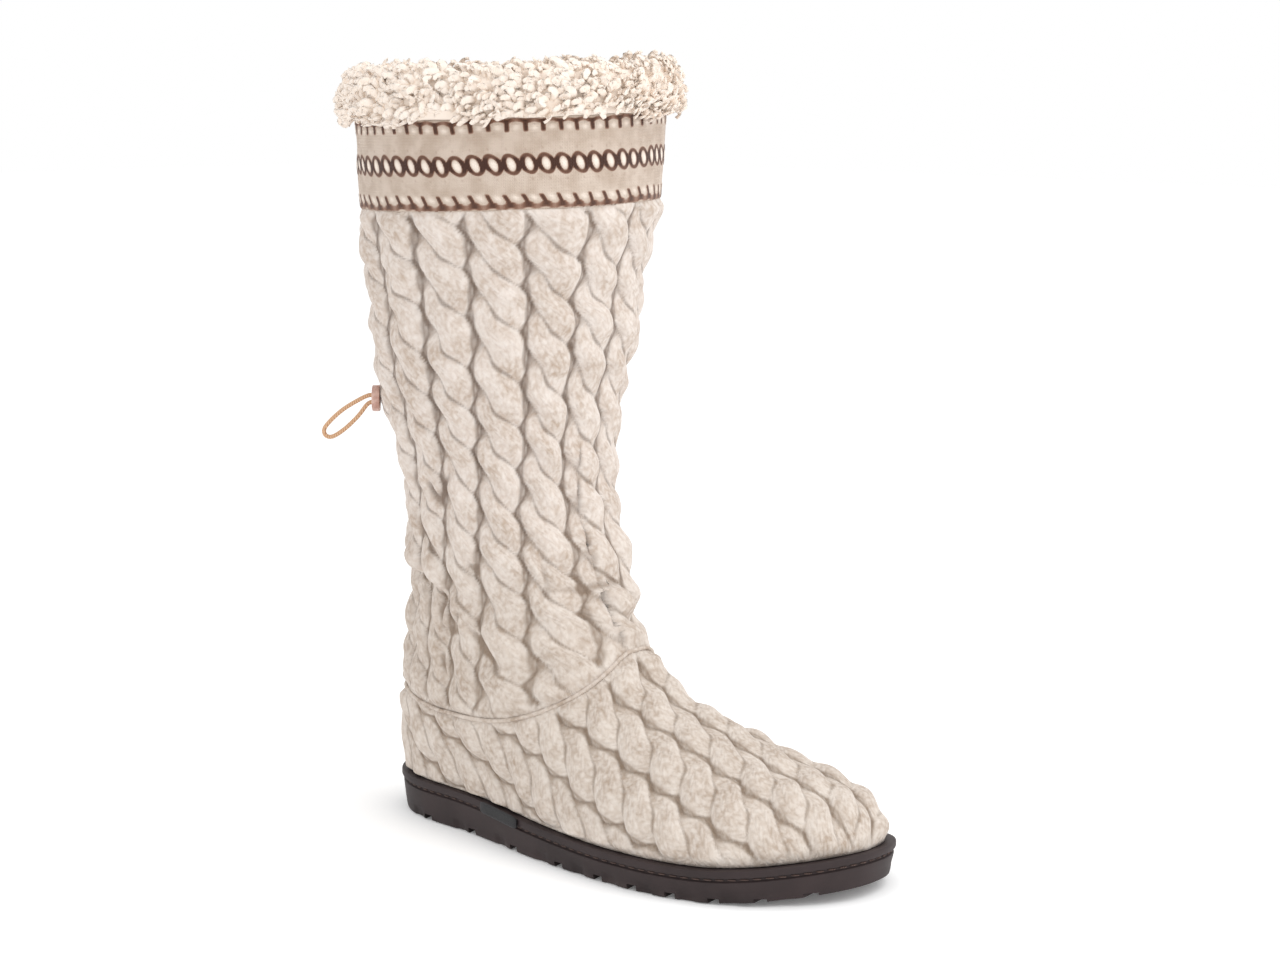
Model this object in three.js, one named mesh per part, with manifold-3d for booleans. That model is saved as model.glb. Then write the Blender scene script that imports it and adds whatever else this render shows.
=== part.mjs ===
// A tall knitted slipper boot for the right foot, in millimetres.
// X runs from heel to toe, Y to the inner (medial) side, Z up. The origin is on the floor under the heel.
import * as THREE from "three";
import { mergeVertices } from "three/addons/utils/BufferGeometryUtils.js";
import Module from "manifold-3d";

const wasm = await Module();
wasm.setup();

// Driving sizes
const SOLE_LENGTH = 265;
const BALL_WIDTH = 99;
const HEEL_WIDTH = 68;
const HEEL_SET = 36; // from the heel's back to the origin
const CLEARANCE = 0.35; // between pieces that touch
const SOLE_THICK_HEEL = 18.5;
const SOLE_THICK_BALL = 14.5;
const TOE_SPRING = 6;
const HEEL_SPRING = 1.6;
const SIDE_TAPER = 1.6; // how far the tread is set in from the widest line
const RIM_HEIGHT = 3.4; // the lip round the sole's top edge
const RIM_PROUD = 0.8;
const GROOVE_DEPTH = 1; // the stitched groove under the lip
const GROOVE_HEIGHT = 1.6;
const EDGE_ROUND = 0.8;
const TREAD_DEPTH = 2.6;
const TREAD_GROOVE = 5;
const TREAD_SLANT = 14; // degrees
const TREAD_RAIL = 15; // half width of the strip between the left and right slots
const RAIL_SLOT = 3;
const WALL = 3; // knit with its lining
const CABLE_RELIEF = 3.4; // how far a cable stands above the valley beside it
const CABLE_PITCH = 23; // one crossing of the two strands
const SHAFT_COLUMNS = 15;
const COLUMN_PHASE = -14.5; // heading of one valley, in degrees
const FOOT_CABLE_RELIEF = 2.6;
const FOOT_COLUMNS = 14; // in a full turn about the axis of the foot's knit
const FOOT_PHASE = 5; // angle of the valley beside the top line, in degrees to the outer side
const FOOT_FALL = 20; // degrees that this axis falls towards the toe
const FOOT_AXIS_X = 64;
const FOOT_AXIS_HEIGHT = 45;
const INSTEP_HEIGHT = 78; // over the sole, where the seam crosses the top line
const FOOT_EDGE_INSET = 3; // from the sole's edge to the valleys of the knit
const FOOT_BULGE = 1.5;
const FOOT_SET = 58; // the middle of the foot piece, ahead of the origin
const FOOT_SIDE = -5;
const SHAFT_FOOT = 46; // lowest level at which the shaft's own rings are given
const SHAFT_HEIGHT = 236; // from there to the band's lower edge
const SHAFT_RADIUS = 66;
const SHAFT_SET = 22; // the shaft's centre line, ahead of the origin
const ANKLE_BLEND = 22;
const ANKLE_LEVEL = 104; // the rows of the shaft's knit are level above it
const SEAM_BACK = 60;
const SEAM_SIDE = 55;
const SEAM_FRONT = 88;
const SEAM_GAP = 0.5;
const SEAM_LAP = 1.2; // the shaft's lower edge stands this far over the foot piece
const TOP_TILT_FRONT = 1.6; // degrees
const TOP_TILT_INNER = 1.6;
const BAND_HEIGHT = 42;
const BAND_WALL = 2.6;
const BAND_PROUD = 1; // over the valleys of the shaft's knit
const BAND_FLARE = 1.8;
const BAND_CROWN = 0.7;
const COLLAR_RISE = 18; // above the band's top edge
const COLLAR_LAP = 5; // below it, over the band's outside
const COLLAR_DEPTH_OUT = 6.5;
const COLLAR_DEPTH_IN = 5;
const COLLAR_ROUND = 2.5;
const LUMP_RELIEF = 1.5;
const LOCK_RADIUS = 8.5;
const LOCK_FLAT = 0.42;
const LOCK_SPACING = 40;
const INSOLE_THICK = 5;
const INSOLE_GAP = 1.4;
const INSOLE_ROUND = 1.5;
const LOOP_CORD = 2;
const LOOP_LEVEL = 194;
const LOOP_ANGLE = 223; // heading of the button and its loop
const BUTTON_DIAMETER = 12;
const BUTTON_THICK = 3.6;
const BUTTON_RIM = 1.4;
const BUTTON_DISH = 0.8;
const LABEL_LENGTH = 29;
const LABEL_HEIGHT = 5.2;
const LABEL_DROP = 4.5; // from the sole's top edge down to the label's lower edge
const LABEL_THICK = 1.1;
const LABEL_AT = 0.37; // share of the sole's length

// How finely each piece is drawn
const SOLE_STATIONS = 22;
const FOOT_SEGMENTS = 72;
const FOOT_ROWS = 12;
const FOOT_INNER_ROWS = 5;
const SAMPLES_PER_COLUMN = 4;
const ROWS_PER_CROSSING = 3;
const ANKLE_ROWS = 4;
const SHAFT_INNER_ROWS = 5;
const BAND_SEGMENTS = 48;
const COLLAR_SEGMENTS = 36;
const LOOP_SIDES = 8;
const LOOP_STEPS = 18;
const BUTTON_SEGMENTS = 16;

const radians = THREE.MathUtils.degToRad;
const mix = THREE.MathUtils.lerp;
const ease = (t) => THREE.MathUtils.smoothstep(t, 0, 1);

// Half widths of the sole, as shares of the local width, and what lies along it
const OUTLINE = [
  { at: 0, medial: 0.47, lateral: 0.5 },
  { at: 0.12, medial: 0.49, lateral: 0.51 },
  { at: 0.25, medial: 0.46, lateral: 0.53 },
  { at: 0.4, medial: 0.37, lateral: 0.53 },
  { at: 0.55, medial: 0.37, lateral: 0.51 },
  { at: 0.68, medial: 0.45, lateral: 0.53 },
  { at: 0.8, medial: 0.5, lateral: 0.53 },
  { at: 0.9, medial: 0.53, lateral: 0.53 },
  { at: 1, medial: 0.54, lateral: 0.47 },
];
// Height of the foot's top line over the sole, as a share of the instep's
const RIDGE = [
  { at: 0, height: 0 },
  { at: 0.008, height: 0.3 },
  { at: 0.03, height: 0.62 },
  { at: 0.08, height: 1.0 },
  { at: 0.2, height: 1.28 },
  { at: 0.36, height: 1.28 },
  { at: 0.46, height: 1 },
  { at: 0.55, height: 0.805 },
  { at: 0.62, height: 0.695 },
  { at: 0.7, height: 0.605 },
  { at: 0.77, height: 0.52 },
  { at: 0.85, height: 0.43 },
  { at: 0.905, height: 0.362 },
  { at: 0.95, height: 0.275 },
  { at: 0.98, height: 0.17 },
  { at: 1, height: 0 },
];
// The shaft's rings: level as a share of its height, and shifts to the front and side
// and radii as shares of its radius. Rows below zero draw it in where the foot takes over
const SHAFT_FORM = [
  { level: -0.13, shift: 0.24, side: -0.06, long: 0.6, wide: 0.3 },
  { level: -0.04, shift: 0.24, side: -0.06, long: 0.82, wide: 0.47 },
  { level: 0.03, shift: 0.24, side: -0.06, long: 0.9, wide: 0.54 },
  { level: 0.12, shift: 0.24, side: -0.04, long: 0.88, wide: 0.54 },
  { level: 0.22, shift: 0.115, side: -0.02, long: 0.76, wide: 0.56 },
  { level: 0.27, shift: 0.12, side: -0.01, long: 0.765, wide: 0.56 },
  { level: 0.33, shift: 0.07, side: 0, long: 0.76, wide: 0.65 },
  { level: 0.42, shift: 0.01, side: 0, long: 0.7, wide: 0.66 },
  { level: 0.53, shift: -0.03, side: 0, long: 0.735, wide: 0.69 },
  { level: 0.65, shift: -0.08, side: 0, long: 0.815, wide: 0.79 },
  { level: 0.78, shift: -0.04, side: 0, long: 0.89, wide: 0.87 },
  { level: 0.83, shift: -0.05, side: 0, long: 0.89, wide: 0.88 },
  { level: 0.88, shift: -0.05, side: 0, long: 0.93, wide: 0.92 },
  { level: 0.94, shift: -0.02, side: 0, long: 0.97, wide: 0.96 },
  { level: 1, shift: 0, side: 0, long: 1, wide: 1 },
];

// A smooth line through a table's rows, read at one place
function follow(table, along, column, place) {
  const last = table.length - 1;
  let i = 0;
  while (i < last - 1 && table[i + 1][along] < place) i++;
  const row = (k) => table[Math.min(Math.max(k, 0), last)];
  const slope = (k) => {
    const run = row(k + 1)[along] - row(k - 1)[along];
    return (row(k + 1)[column] - row(k - 1)[column]) / run;
  };
  const span = row(i + 1)[along] - row(i)[along];
  const t = THREE.MathUtils.clamp((place - row(i)[along]) / span, 0, 1);
  const a = row(i)[column];
  const b = row(i + 1)[column];
  const rise = 3 * t * t - 2 * t * t * t;
  return (
    mix(a, b, rise) +
    span * (slope(i) * t * (1 - t) * (1 - t) - slope(i + 1) * t * t * (1 - t))
  );
}

// A closed surface over rings with their points in the same order, its two ends closed by strips
function loft(rings) {
  const around = rings[0].length;
  const positions = rings.flat().flatMap((p) => [p.x, p.y, p.z]);
  const index = [];
  for (let i = 0; i < rings.length - 1; i++)
    for (let j = 0; j < around; j++) {
      const k = (j + 1) % around;
      const a = i * around + j;
      const b = i * around + k;
      index.push(a, b, b + around, a, b + around, a + around);
    }
  const closeEnd = (first, up) => {
    const half = around / 2;
    for (let j = 0; j < half; j++) {
      const corners = [j, j + 1, around - 1 - j, (around - j) % around];
      const [a, b, c, d] = corners.map((k) => first + k);
      const faces = [];
      if (j > 0) faces.push([a, b, d]);
      if (j < half - 1) faces.push([b, c, d]);
      for (const [p, q, r] of faces) index.push(...(up ? [p, q, r] : [p, r, q]));
    }
  };
  closeEnd(0, false);
  closeEnd((rings.length - 1) * around, true);
  const geometry = new THREE.BufferGeometry();
  geometry.setAttribute("position", new THREE.Float32BufferAttribute(positions, 3));
  geometry.setIndex(index);
  return geometry;
}

function solid(geometry) {
  const bare = geometry.clone();
  bare.deleteAttribute("normal");
  bare.deleteAttribute("uv");
  const merged = mergeVertices(bare, 1e-4);
  const mesh = new wasm.Mesh({
    numProp: 3,
    vertProperties: merged.attributes.position.array,
    triVerts: new Uint32Array(merged.index.array),
  });
  return new wasm.Manifold(mesh);
}

function geometryOf(manifold) {
  const { vertProperties, triVerts } = manifold.getMesh();
  const geometry = new THREE.BufferGeometry();
  geometry.setAttribute("position", new THREE.BufferAttribute(vertProperties, 3));
  geometry.setIndex(new THREE.BufferAttribute(triVerts, 1));
  return geometry;
}

// Half width of the sole on one side
const HEEL_ROUND = 0.16; // shares of the sole's length over which its ends close
const TOE_ROUND = 0.3;
const WAIST_FROM = 0.22;
const WAIST_TO = 0.62;
function halfWidth(at, side) {
  const width = mix(HEEL_WIDTH, BALL_WIDTH, ease((at - WAIST_FROM) / (WAIST_TO - WAIST_FROM)));
  const share = follow(OUTLINE, "at", side, at);
  const heel = Math.max(0, 1 - at / HEEL_ROUND);
  const toe = Math.max(0, 1 - (1 - at) / TOE_ROUND);
  const rounding = Math.sqrt(1 - heel ** 2) * Math.sqrt(Math.max(0, 1 - toe ** 2.6));
  return share * width * rounding;
}

// The sole's middle line swings to the outer side at the waist and to the inner side at the toe
const WAIST_SWING = 0.05;
const TOE_SWING = 0.055;
const bend = (at) =>
  BALL_WIDTH * (TOE_SWING * ease((at - 0.7) / 0.3) - WAIST_SWING * Math.sin(Math.PI * at));

const toeLift = (at) => TOE_SPRING * Math.max(0, (at - 0.8) / 0.2) ** 1.7;
const heelLift = (at) => HEEL_SPRING * Math.max(0, 1 - at / 0.06) ** 2;
const soleBottom = (at) => toeLift(at) + heelLift(at);
const soleTop = (at) =>
  mix(SOLE_THICK_HEEL, SOLE_THICK_BALL, ease((at - 0.2) / 0.45)) + toeLift(at);
const soleX = (at) => at * SOLE_LENGTH - HEEL_SET;
const soleShare = (x) => THREE.MathUtils.clamp((x + HEEL_SET) / SOLE_LENGTH, 0, 1);

// Plan points of the sole moved inwards by inset, from the heel round the outer side to the toe and back
function planOutline(inset) {
  const points = [];
  const place = (i) => (1 - Math.cos((Math.PI * i) / SOLE_STATIONS)) / 2;
  const point = (at, side) => {
    const y = side === "medial" ? halfWidth(at, side) : -halfWidth(at, side);
    return { at, x: at * SOLE_LENGTH - HEEL_SET, y: y + bend(at) };
  };
  for (let i = 0; i < SOLE_STATIONS; i++) points.push(point(place(i), "lateral"));
  for (let i = SOLE_STATIONS; i > 0; i--) points.push(point(place(i), "medial"));
  return points.map((p, i) => {
    const before = points[(i + points.length - 1) % points.length];
    const after = points[(i + 1) % points.length];
    const along = new THREE.Vector2(after.x - before.x, after.y - before.y).normalize();
    return { at: p.at, x: p.x - along.y * inset, y: p.y + along.x * inset };
  });
}

function soleRing(inset, heightAt) {
  return planOutline(inset).map((p) => new THREE.Vector3(p.x, p.y, heightAt(p.at)));
}

// Places of the slots across the tread, as shares of the sole's length
const TREAD_SLOTS = [0.12, 0.24, 0.36, 0.48, 0.575, 0.65, 0.725, 0.8, 0.87, 0.935];

function outsoleGeometry() {
  const underTop = (drop) => (at) => soleTop(at) - drop;
  const overTread = (rise) => (at) => soleBottom(at) + rise;
  let sole = solid(
    loft([
      soleRing(SIDE_TAPER + EDGE_ROUND, overTread(0)),
      soleRing(SIDE_TAPER, overTread(EDGE_ROUND)),
      soleRing(0, underTop(RIM_HEIGHT + GROOVE_HEIGHT + EDGE_ROUND)),
      soleRing(GROOVE_DEPTH, underTop(RIM_HEIGHT + GROOVE_HEIGHT)),
      soleRing(GROOVE_DEPTH, underTop(RIM_HEIGHT)),
      soleRing(-RIM_PROUD, underTop(RIM_HEIGHT - EDGE_ROUND)),
      soleRing(-RIM_PROUD, underTop(EDGE_ROUND)),
      soleRing(0, underTop(0)),
    ]),
  );
  // Slots from the rail out through each side
  for (const at of TREAD_SLOTS)
    for (const side of [-1, 1]) {
      const slot = new THREE.BoxGeometry(TREAD_GROOVE, BALL_WIDTH, 2 * TREAD_DEPTH);
      slot.translate(0, side * (BALL_WIDTH / 2 + TREAD_RAIL), 0);
      slot.rotateZ(-side * radians(TREAD_SLANT));
      slot.translate(soleX(at), bend(at), toeLift(at));
      sole = sole.subtract(solid(slot));
    }
  // Short slots between them in the rail
  for (let i = 0; i < TREAD_SLOTS.length - 1; i++) {
    const at = mix(TREAD_SLOTS[i], TREAD_SLOTS[i + 1], 0.5);
    const slot = new THREE.BoxGeometry(RAIL_SLOT, 1.4 * TREAD_RAIL, TREAD_DEPTH);
    slot.translate(soleX(at), bend(at), toeLift(at));
    sole = sole.subtract(solid(slot));
  }
  return geometryOf(sole);
}

// The boot's form, as a field that is negative inside
function shaftRing(level) {
  const share = (level - SHAFT_FOOT) / SHAFT_HEIGHT;
  const read = (column) => SHAFT_RADIUS * follow(SHAFT_FORM, "level", column, share);
  return { x: SHAFT_SET + read("shift"), y: read("side"), long: read("long"), wide: read("wide") };
}

function shaftField(x, y, z) {
  const ring = shaftRing(z);
  const reach = Math.hypot((x - ring.x) / ring.long, (y - ring.y) / ring.wide);
  return (reach - 1) * Math.min(ring.long, ring.wide);
}

function footField(x, y, z) {
  const at = (x + HEEL_SET - FOOT_EDGE_INSET) / (SOLE_LENGTH - 2 * FOOT_EDGE_INSET);
  if (at <= 0 || at >= 1) return SOLE_LENGTH;
  const across = y - bend(at);
  const base = soleTop(at);
  const top = follow(RIDGE, "at", "height", at) * INSTEP_HEIGHT;
  const rise = Math.max(0, z - base) / Math.max(top, 1);
  const bulge = FOOT_BULGE * Math.sin(Math.PI * Math.min(1, rise * 1.6));
  const width = halfWidth(at, across > 0 ? "medial" : "lateral") - FOOT_EDGE_INSET + bulge;
  const reach = ((Math.abs(across) / Math.max(width, 1)) ** 2.3 + rise ** 2.1) ** (1 / 2.2);
  return (reach - 1) * Math.min(Math.max(width, 1), top);
}

function bootField(x, y, z) {
  const a = footField(x, y, z);
  const b = shaftField(x, y, z);
  const share = Math.max(0, ANKLE_BLEND - Math.abs(a - b)) / ANKLE_BLEND;
  return Math.min(a, b) - (share ** 2 * ANKLE_BLEND) / 4;
}

// The distance out from a place inside to the form's surface, at one level and heading
function reachAt(centre, level, heading) {
  const [c, s] = [Math.cos(heading), Math.sin(heading)];
  const field = (r) => bootField(centre.x + r * c, centre.y + r * s, level);
  const step = 3;
  let outer = step;
  while (field(outer) < 0) outer += step;
  let inner = outer - step;
  for (let k = 0; k < 18; k++) {
    const middle = (inner + outer) / 2;
    if (field(middle) < 0) inner = middle;
    else outer = middle;
  }
  return inner;
}

// Height of a rope cable above its valley, from 0 to 1: two strands wind round each other,
// and the one in front crosses from right to left on its way up
const STRAND_SWING = 0.22; // shares of a column's width
const STRAND_HALF = 0.28;
const STRAND_BACK = 0.62; // height of a strand where it lies behind
function cable(across, along) {
  const heights = [0, 1].map((strand) => {
    const turn = Math.PI * (along + strand);
    const front = 0.5 + 0.5 * Math.sin(turn);
    const off = (across - STRAND_SWING * Math.cos(turn)) / STRAND_HALF;
    return Math.max(0, 1 - off * off) * mix(STRAND_BACK, 1, front);
  });
  return Math.max(...heights);
}

// Relief of cables side by side: each starts a part of a crossing after its neighbour
const COLUMN_STAGGER = 1 / 3;
function columnRelief(across, along) {
  const column = Math.floor(across);
  return cable(across - column - 0.5, along + COLUMN_STAGGER * column);
}

// The foot's columns lie round an axis that falls towards the toe
function footRelief(point) {
  const fall = radians(FOOT_FALL);
  const [x, z] = [point.x - FOOT_AXIS_X, point.z - FOOT_AXIS_HEIGHT];
  const along = x * Math.cos(fall) - z * Math.sin(fall);
  const up = x * Math.sin(fall) + z * Math.cos(fall);
  const angle = Math.atan2(-point.y, up) - radians(FOOT_PHASE);
  const across = (FOOT_COLUMNS * angle) / (2 * Math.PI);
  return columnRelief(across, -along / CABLE_PITCH);
}

function outward(point) {
  const d = 0.5;
  const slope = (dx, dy, dz) =>
    bootField(point.x + dx, point.y + dy, point.z + dz) -
    bootField(point.x - dx, point.y - dy, point.z - dz);
  return new THREE.Vector3(slope(d, 0, 0), slope(0, d, 0), slope(0, 0, d)).normalize();
}

// A point of the form at one heading from a place inside it
const SHAFT_CENTRE = new THREE.Vector2(SHAFT_SET, 0);
function onForm(heading, level, centre = SHAFT_CENTRE) {
  const reach = reachAt(centre, level, heading);
  return new THREE.Vector3(
    centre.x + reach * Math.cos(heading),
    centre.y + reach * Math.sin(heading),
    level,
  );
}

const moved = (point, out) => point.clone().addScaledVector(outward(point), out);

// Moved level, and square to the form's plan, until it lies at this depth under the surface
function inside(point, depth) {
  const normal = outward(point).setZ(0);
  const inset = depth / Math.max(0.4, normal.length());
  return point.clone().addScaledVector(normal.normalize(), -inset);
}

// The top leans: its front and inner side stand higher
const SHAFT_TOP = SHAFT_FOOT + SHAFT_HEIGHT;
function leaned(point) {
  const share = ease((point.z - SHAFT_FOOT) / SHAFT_HEIGHT);
  const rise =
    (point.x - SHAFT_SET) * Math.tan(radians(TOP_TILT_FRONT)) +
    point.y * Math.tan(radians(TOP_TILT_INNER));
  return new THREE.Vector3(point.x, point.y, point.z + rise * share);
}

// The seam between foot and shaft runs low round the heel and sides and climbs over the instep
const SEAM_CLIMB = 6.5;
function seamLevel(heading) {
  const ahead = Math.cos(heading);
  return ahead > 0
    ? mix(SEAM_SIDE, SEAM_FRONT, ahead ** SEAM_CLIMB)
    : mix(SEAM_SIDE, SEAM_BACK, ahead ** 2);
}

// A wall that closes on itself: rings up its outside, then down its inside.
// Each square is folded along the diagonal that stands out
function wallGeometry(outerRings, innerRings) {
  const rings = [...outerRings, ...innerRings.toReversed()];
  const around = rings[0].length;
  const points = rings.flat();
  const index = [];
  const plane = new THREE.Plane();
  rings.forEach((ring, i) => {
    const next = (i + 1) % rings.length;
    for (let j = 0; j < around; j++) {
      const k = (j + 1) % around;
      const [a, b] = [i * around + j, i * around + k];
      const [c, d] = [next * around + k, next * around + j];
      plane.setFromCoplanarPoints(points[a], points[b], points[d]);
      if (plane.distanceToPoint(points[c]) < 0) index.push(a, b, d, b, c, d);
      else index.push(a, b, c, a, c, d);
    }
  });
  const geometry = new THREE.BufferGeometry();
  const positions = points.flatMap((p) => [p.x, p.y, p.z]);
  geometry.setAttribute("position", new THREE.Float32BufferAttribute(positions, 3));
  geometry.setIndex(index);
  return geometry;
}

const steps = (count) => Array.from({ length: count + 1 }, (_, i) => i / count);

// Headings of evenly spaced points of the foot's edge, from the middle of the foot
const FOOT_CENTRE = new THREE.Vector2(FOOT_SET, FOOT_SIDE);
function footHeadings() {
  const edge = planOutline(FOOT_EDGE_INSET);
  const curve = new THREE.CatmullRomCurve3(
    edge.map((p) => new THREE.Vector3(p.x - FOOT_SET, p.y - FOOT_SIDE, 0)),
    true,
  );
  const points = curve.getSpacedPoints(FOOT_SEGMENTS).slice(0, FOOT_SEGMENTS);
  return points.map((p) => Math.atan2(p.y, p.x));
}

// The foot's edge stands on the sole, whose top climbs to the toe
function footEdge(heading) {
  let edge = onForm(heading, SOLE_THICK_HEEL, FOOT_CENTRE);
  for (let k = 0; k < 8; k++)
    edge = onForm(heading, soleTop(soleShare(edge.x)) + CLEARANCE, FOOT_CENTRE);
  return edge;
}

// Points up the foot at one heading, at these shares of the way from the sole to the seam.
// The place that they are seen from moves back to the shaft's centre on the way up
function meridian(heading, shares) {
  const [low, high] = [footEdge(heading).z, seamLevel(heading)];
  const points = steps(3 * FOOT_ROWS).map((t) => {
    const centre = FOOT_CENTRE.clone().lerp(SHAFT_CENTRE, t);
    return onForm(heading, mix(low, high, t), centre);
  });
  const curve = new THREE.CatmullRomCurve3(points);
  return shares.map((share) => curve.getPointAt(share));
}

// Rings up the foot; the inner wall has more of them low down, where the toe curves most
const INNER_SPREAD = 1.6;
function footGeometry() {
  const headings = footHeadings();
  const rings = (shares, place) => {
    const lines = headings.map((heading) => meridian(heading, shares));
    return shares.map((t, i) => lines.map((line) => place(line[i], t)));
  };
  const outer = rings(steps(FOOT_ROWS), (point, t) => {
    const fade = ease(t / 0.12) * ease((1 - t) / 0.08);
    return moved(point, FOOT_CABLE_RELIEF * fade * footRelief(point));
  });
  const shares = steps(FOOT_INNER_ROWS).map((t) => t ** INNER_SPREAD);
  return wallGeometry(
    outer,
    rings(shares, (point) => inside(point, WALL)),
  );
}

// Levels of the shaft's rows at one heading: level rows above the ankle, and a few down to the seam
function shaftLevels(heading) {
  const step = CABLE_PITCH / ROWS_PER_CROSSING;
  const count = Math.floor((SHAFT_TOP - ANKLE_LEVEL) / step);
  const lowest = SHAFT_TOP - count * step;
  const bottom = seamLevel(heading) + SEAM_GAP;
  const ankle = steps(ANKLE_ROWS).map((t) => mix(bottom, lowest, t));
  const above = steps(count).map((t) => mix(lowest, SHAFT_TOP, t));
  return [...ankle, ...above.slice(1)];
}

function shaftGeometry() {
  const count = SHAFT_COLUMNS * SAMPLES_PER_COLUMN;
  const columns = Array.from({ length: count }, (_, j) => j / SAMPLES_PER_COLUMN);
  const headingOf = (across) => radians(COLUMN_PHASE) + (2 * Math.PI * across) / SHAFT_COLUMNS;
  const lines = columns.map((across) => {
    const heading = headingOf(across);
    return shaftLevels(heading).map((level, i) => {
      const fade = ease((SHAFT_TOP - level) / CABLE_PITCH + 0.1);
      const relief = fade * CABLE_RELIEF * columnRelief(across, (level - SHAFT_TOP) / CABLE_PITCH);
      const lap = i === 0 ? SEAM_LAP : 0;
      return leaned(moved(onForm(heading, level), Math.max(lap, relief)));
    });
  });
  const outer = lines[0].map((_, i) => lines.map((line) => line[i]));
  const inner = steps(SHAFT_INNER_ROWS).map((t) =>
    columns.map((across) => {
      const heading = headingOf(across);
      const level = mix(seamLevel(heading) + SEAM_GAP, SHAFT_TOP, t);
      return leaned(inside(onForm(heading, level), WALL));
    }),
  );
  return wallGeometry(outer, inner);
}

// A point above the shaft: out is measured from the shaft's own edge, up from its top
function topPoint(turn, out, up) {
  const ring = shaftRing(SHAFT_TOP);
  return leaned(
    new THREE.Vector3(
      ring.x + (ring.long + out) * Math.cos(turn),
      (ring.wide + out) * Math.sin(turn),
      SHAFT_TOP + up,
    ),
  );
}

function topRing(out, up, count) {
  return steps(count)
    .slice(0, count)
    .map((t) => topPoint(2 * Math.PI * t, out, up));
}

const bandOut = (t) => BAND_PROUD + BAND_FLARE * t + BAND_CROWN * Math.sin(Math.PI * t);

function bandGeometry() {
  const ring = (t, inset) => topRing(bandOut(t) - inset, CLEARANCE + t * BAND_HEIGHT, BAND_SEGMENTS);
  const outer = [0, 0.5, 1].map((t) => ring(t, 0));
  const inner = [0, 1].map((t) => ring(t, BAND_WALL));
  return wallGeometry(outer, inner);
}

// A repeatable scatter between -1 and 1
const fraction = (v) => v - Math.floor(v);
const scatter = (n) => 2 * fraction(Math.sin(n * 12.9898) * 43758.5453) - 1;

// The collar's section: out from the shaft's edge, up from the band's top edge
function collarSection() {
  const face = bandOut(1) + CLEARANCE;
  const inner = bandOut(1) - BAND_WALL - COLLAR_DEPTH_IN;
  const outer = face + COLLAR_DEPTH_OUT;
  return [
    { out: face, up: CLEARANCE },
    { out: face, up: COLLAR_ROUND / 2 - COLLAR_LAP },
    { out: face + COLLAR_ROUND, up: -COLLAR_LAP },
    { out: outer - COLLAR_ROUND / 2, up: COLLAR_ROUND - COLLAR_LAP },
    { out: outer, up: 0.15 * COLLAR_RISE },
    { out: outer - COLLAR_ROUND / 2, up: 0.6 * COLLAR_RISE },
    { out: outer - 2 * COLLAR_ROUND, up: 0.92 * COLLAR_RISE },
    { out: mix(inner, outer, 0.4), up: COLLAR_RISE },
    { out: inner + COLLAR_ROUND, up: 0.8 * COLLAR_RISE },
    { out: inner, up: 0.4 * COLLAR_RISE },
    { out: inner + COLLAR_ROUND / 2, up: CLEARANCE },
  ];
}

// One lock: flat against the roll, and turned a little each its own way
function lockGeometry(seed, turn, seat) {
  const lock = new THREE.IcosahedronGeometry(LOCK_RADIUS, 0);
  lock.scale(LOCK_FLAT, 1 + 0.3 * scatter(seed), 1 + 0.3 * scatter(seed + 7));
  lock.rotateX(scatter(seed + 3));
  lock.rotateZ(turn);
  return lock.translate(seat.x, seat.y, seat.z);
}

function collarGeometry() {
  const section = collarSection();
  const top = CLEARANCE + BAND_HEIGHT;
  const rings = section.map(({ out, up }, i) => {
    const soft = i > 2 && i < section.length - 1 ? LUMP_RELIEF : 0;
    return steps(COLLAR_SEGMENTS)
      .slice(0, COLLAR_SEGMENTS)
      .map((t, j) => topPoint(2 * Math.PI * t, out + soft * scatter(17 * i + j), top + up));
  });
  let collar = solid(wallGeometry(rings, []));
  // Locks of fleece in rows, sunk a little into the roll
  [section[4], section[6], section[8]].forEach(({ out, up }, row) => {
    const round = 2 * Math.PI * (SHAFT_RADIUS + out);
    const count = Math.round(round / LOCK_SPACING);
    for (let k = 0; k < count; k++) {
      const seed = 97 * row + k;
      const turn = (2 * Math.PI * (k + 0.5 * (row % 2) + 0.3 * scatter(seed))) / count;
      const seat = topPoint(turn, out - COLLAR_ROUND / 2, top + up + scatter(seed + 31));
      collar = collar.add(solid(lockGeometry(seed, turn, seat)));
    }
  });
  return geometryOf(collar);
}

function insoleGeometry() {
  const headings = footHeadings().filter((_, i) => i % 2 === 0);
  const ring = (extra, up) =>
    headings.map((heading) => {
      const edge = footEdge(heading);
      const point = inside(edge, WALL + INSOLE_GAP + extra);
      return point.setZ(edge.z + up);
    });
  return loft([ring(0, 0), ring(0, INSOLE_THICK - INSOLE_ROUND), ring(INSOLE_ROUND, INSOLE_THICK)]);
}

// The button lies on the highest knit under it
function buttonFrame() {
  const heading = radians(LOOP_ANGLE);
  const normal = new THREE.Vector3(Math.cos(heading), Math.sin(heading), 0);
  const seat = leaned(onForm(heading, LOOP_LEVEL));
  return { normal, seat: seat.addScaledVector(normal, CABLE_RELIEF + CLEARANCE) };
}

const BUTTON_FLOOR = BUTTON_THICK - BUTTON_DISH;
function buttonGeometry() {
  const radius = BUTTON_DIAMETER / 2;
  const profile = [
    [0, 0],
    [0.6 * radius, 0],
    [radius, 0.4 * BUTTON_THICK],
    [radius, 0.8 * BUTTON_THICK],
    [radius - BUTTON_RIM / 2, BUTTON_THICK],
    [radius - BUTTON_RIM, BUTTON_THICK],
    [radius - 1.5 * BUTTON_RIM, BUTTON_FLOOR],
    [0, BUTTON_FLOOR],
  ];
  return new THREE.LatheGeometry(
    profile.map(([x, y]) => new THREE.Vector2(x, y)),
    BUTTON_SEGMENTS,
  );
}

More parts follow.
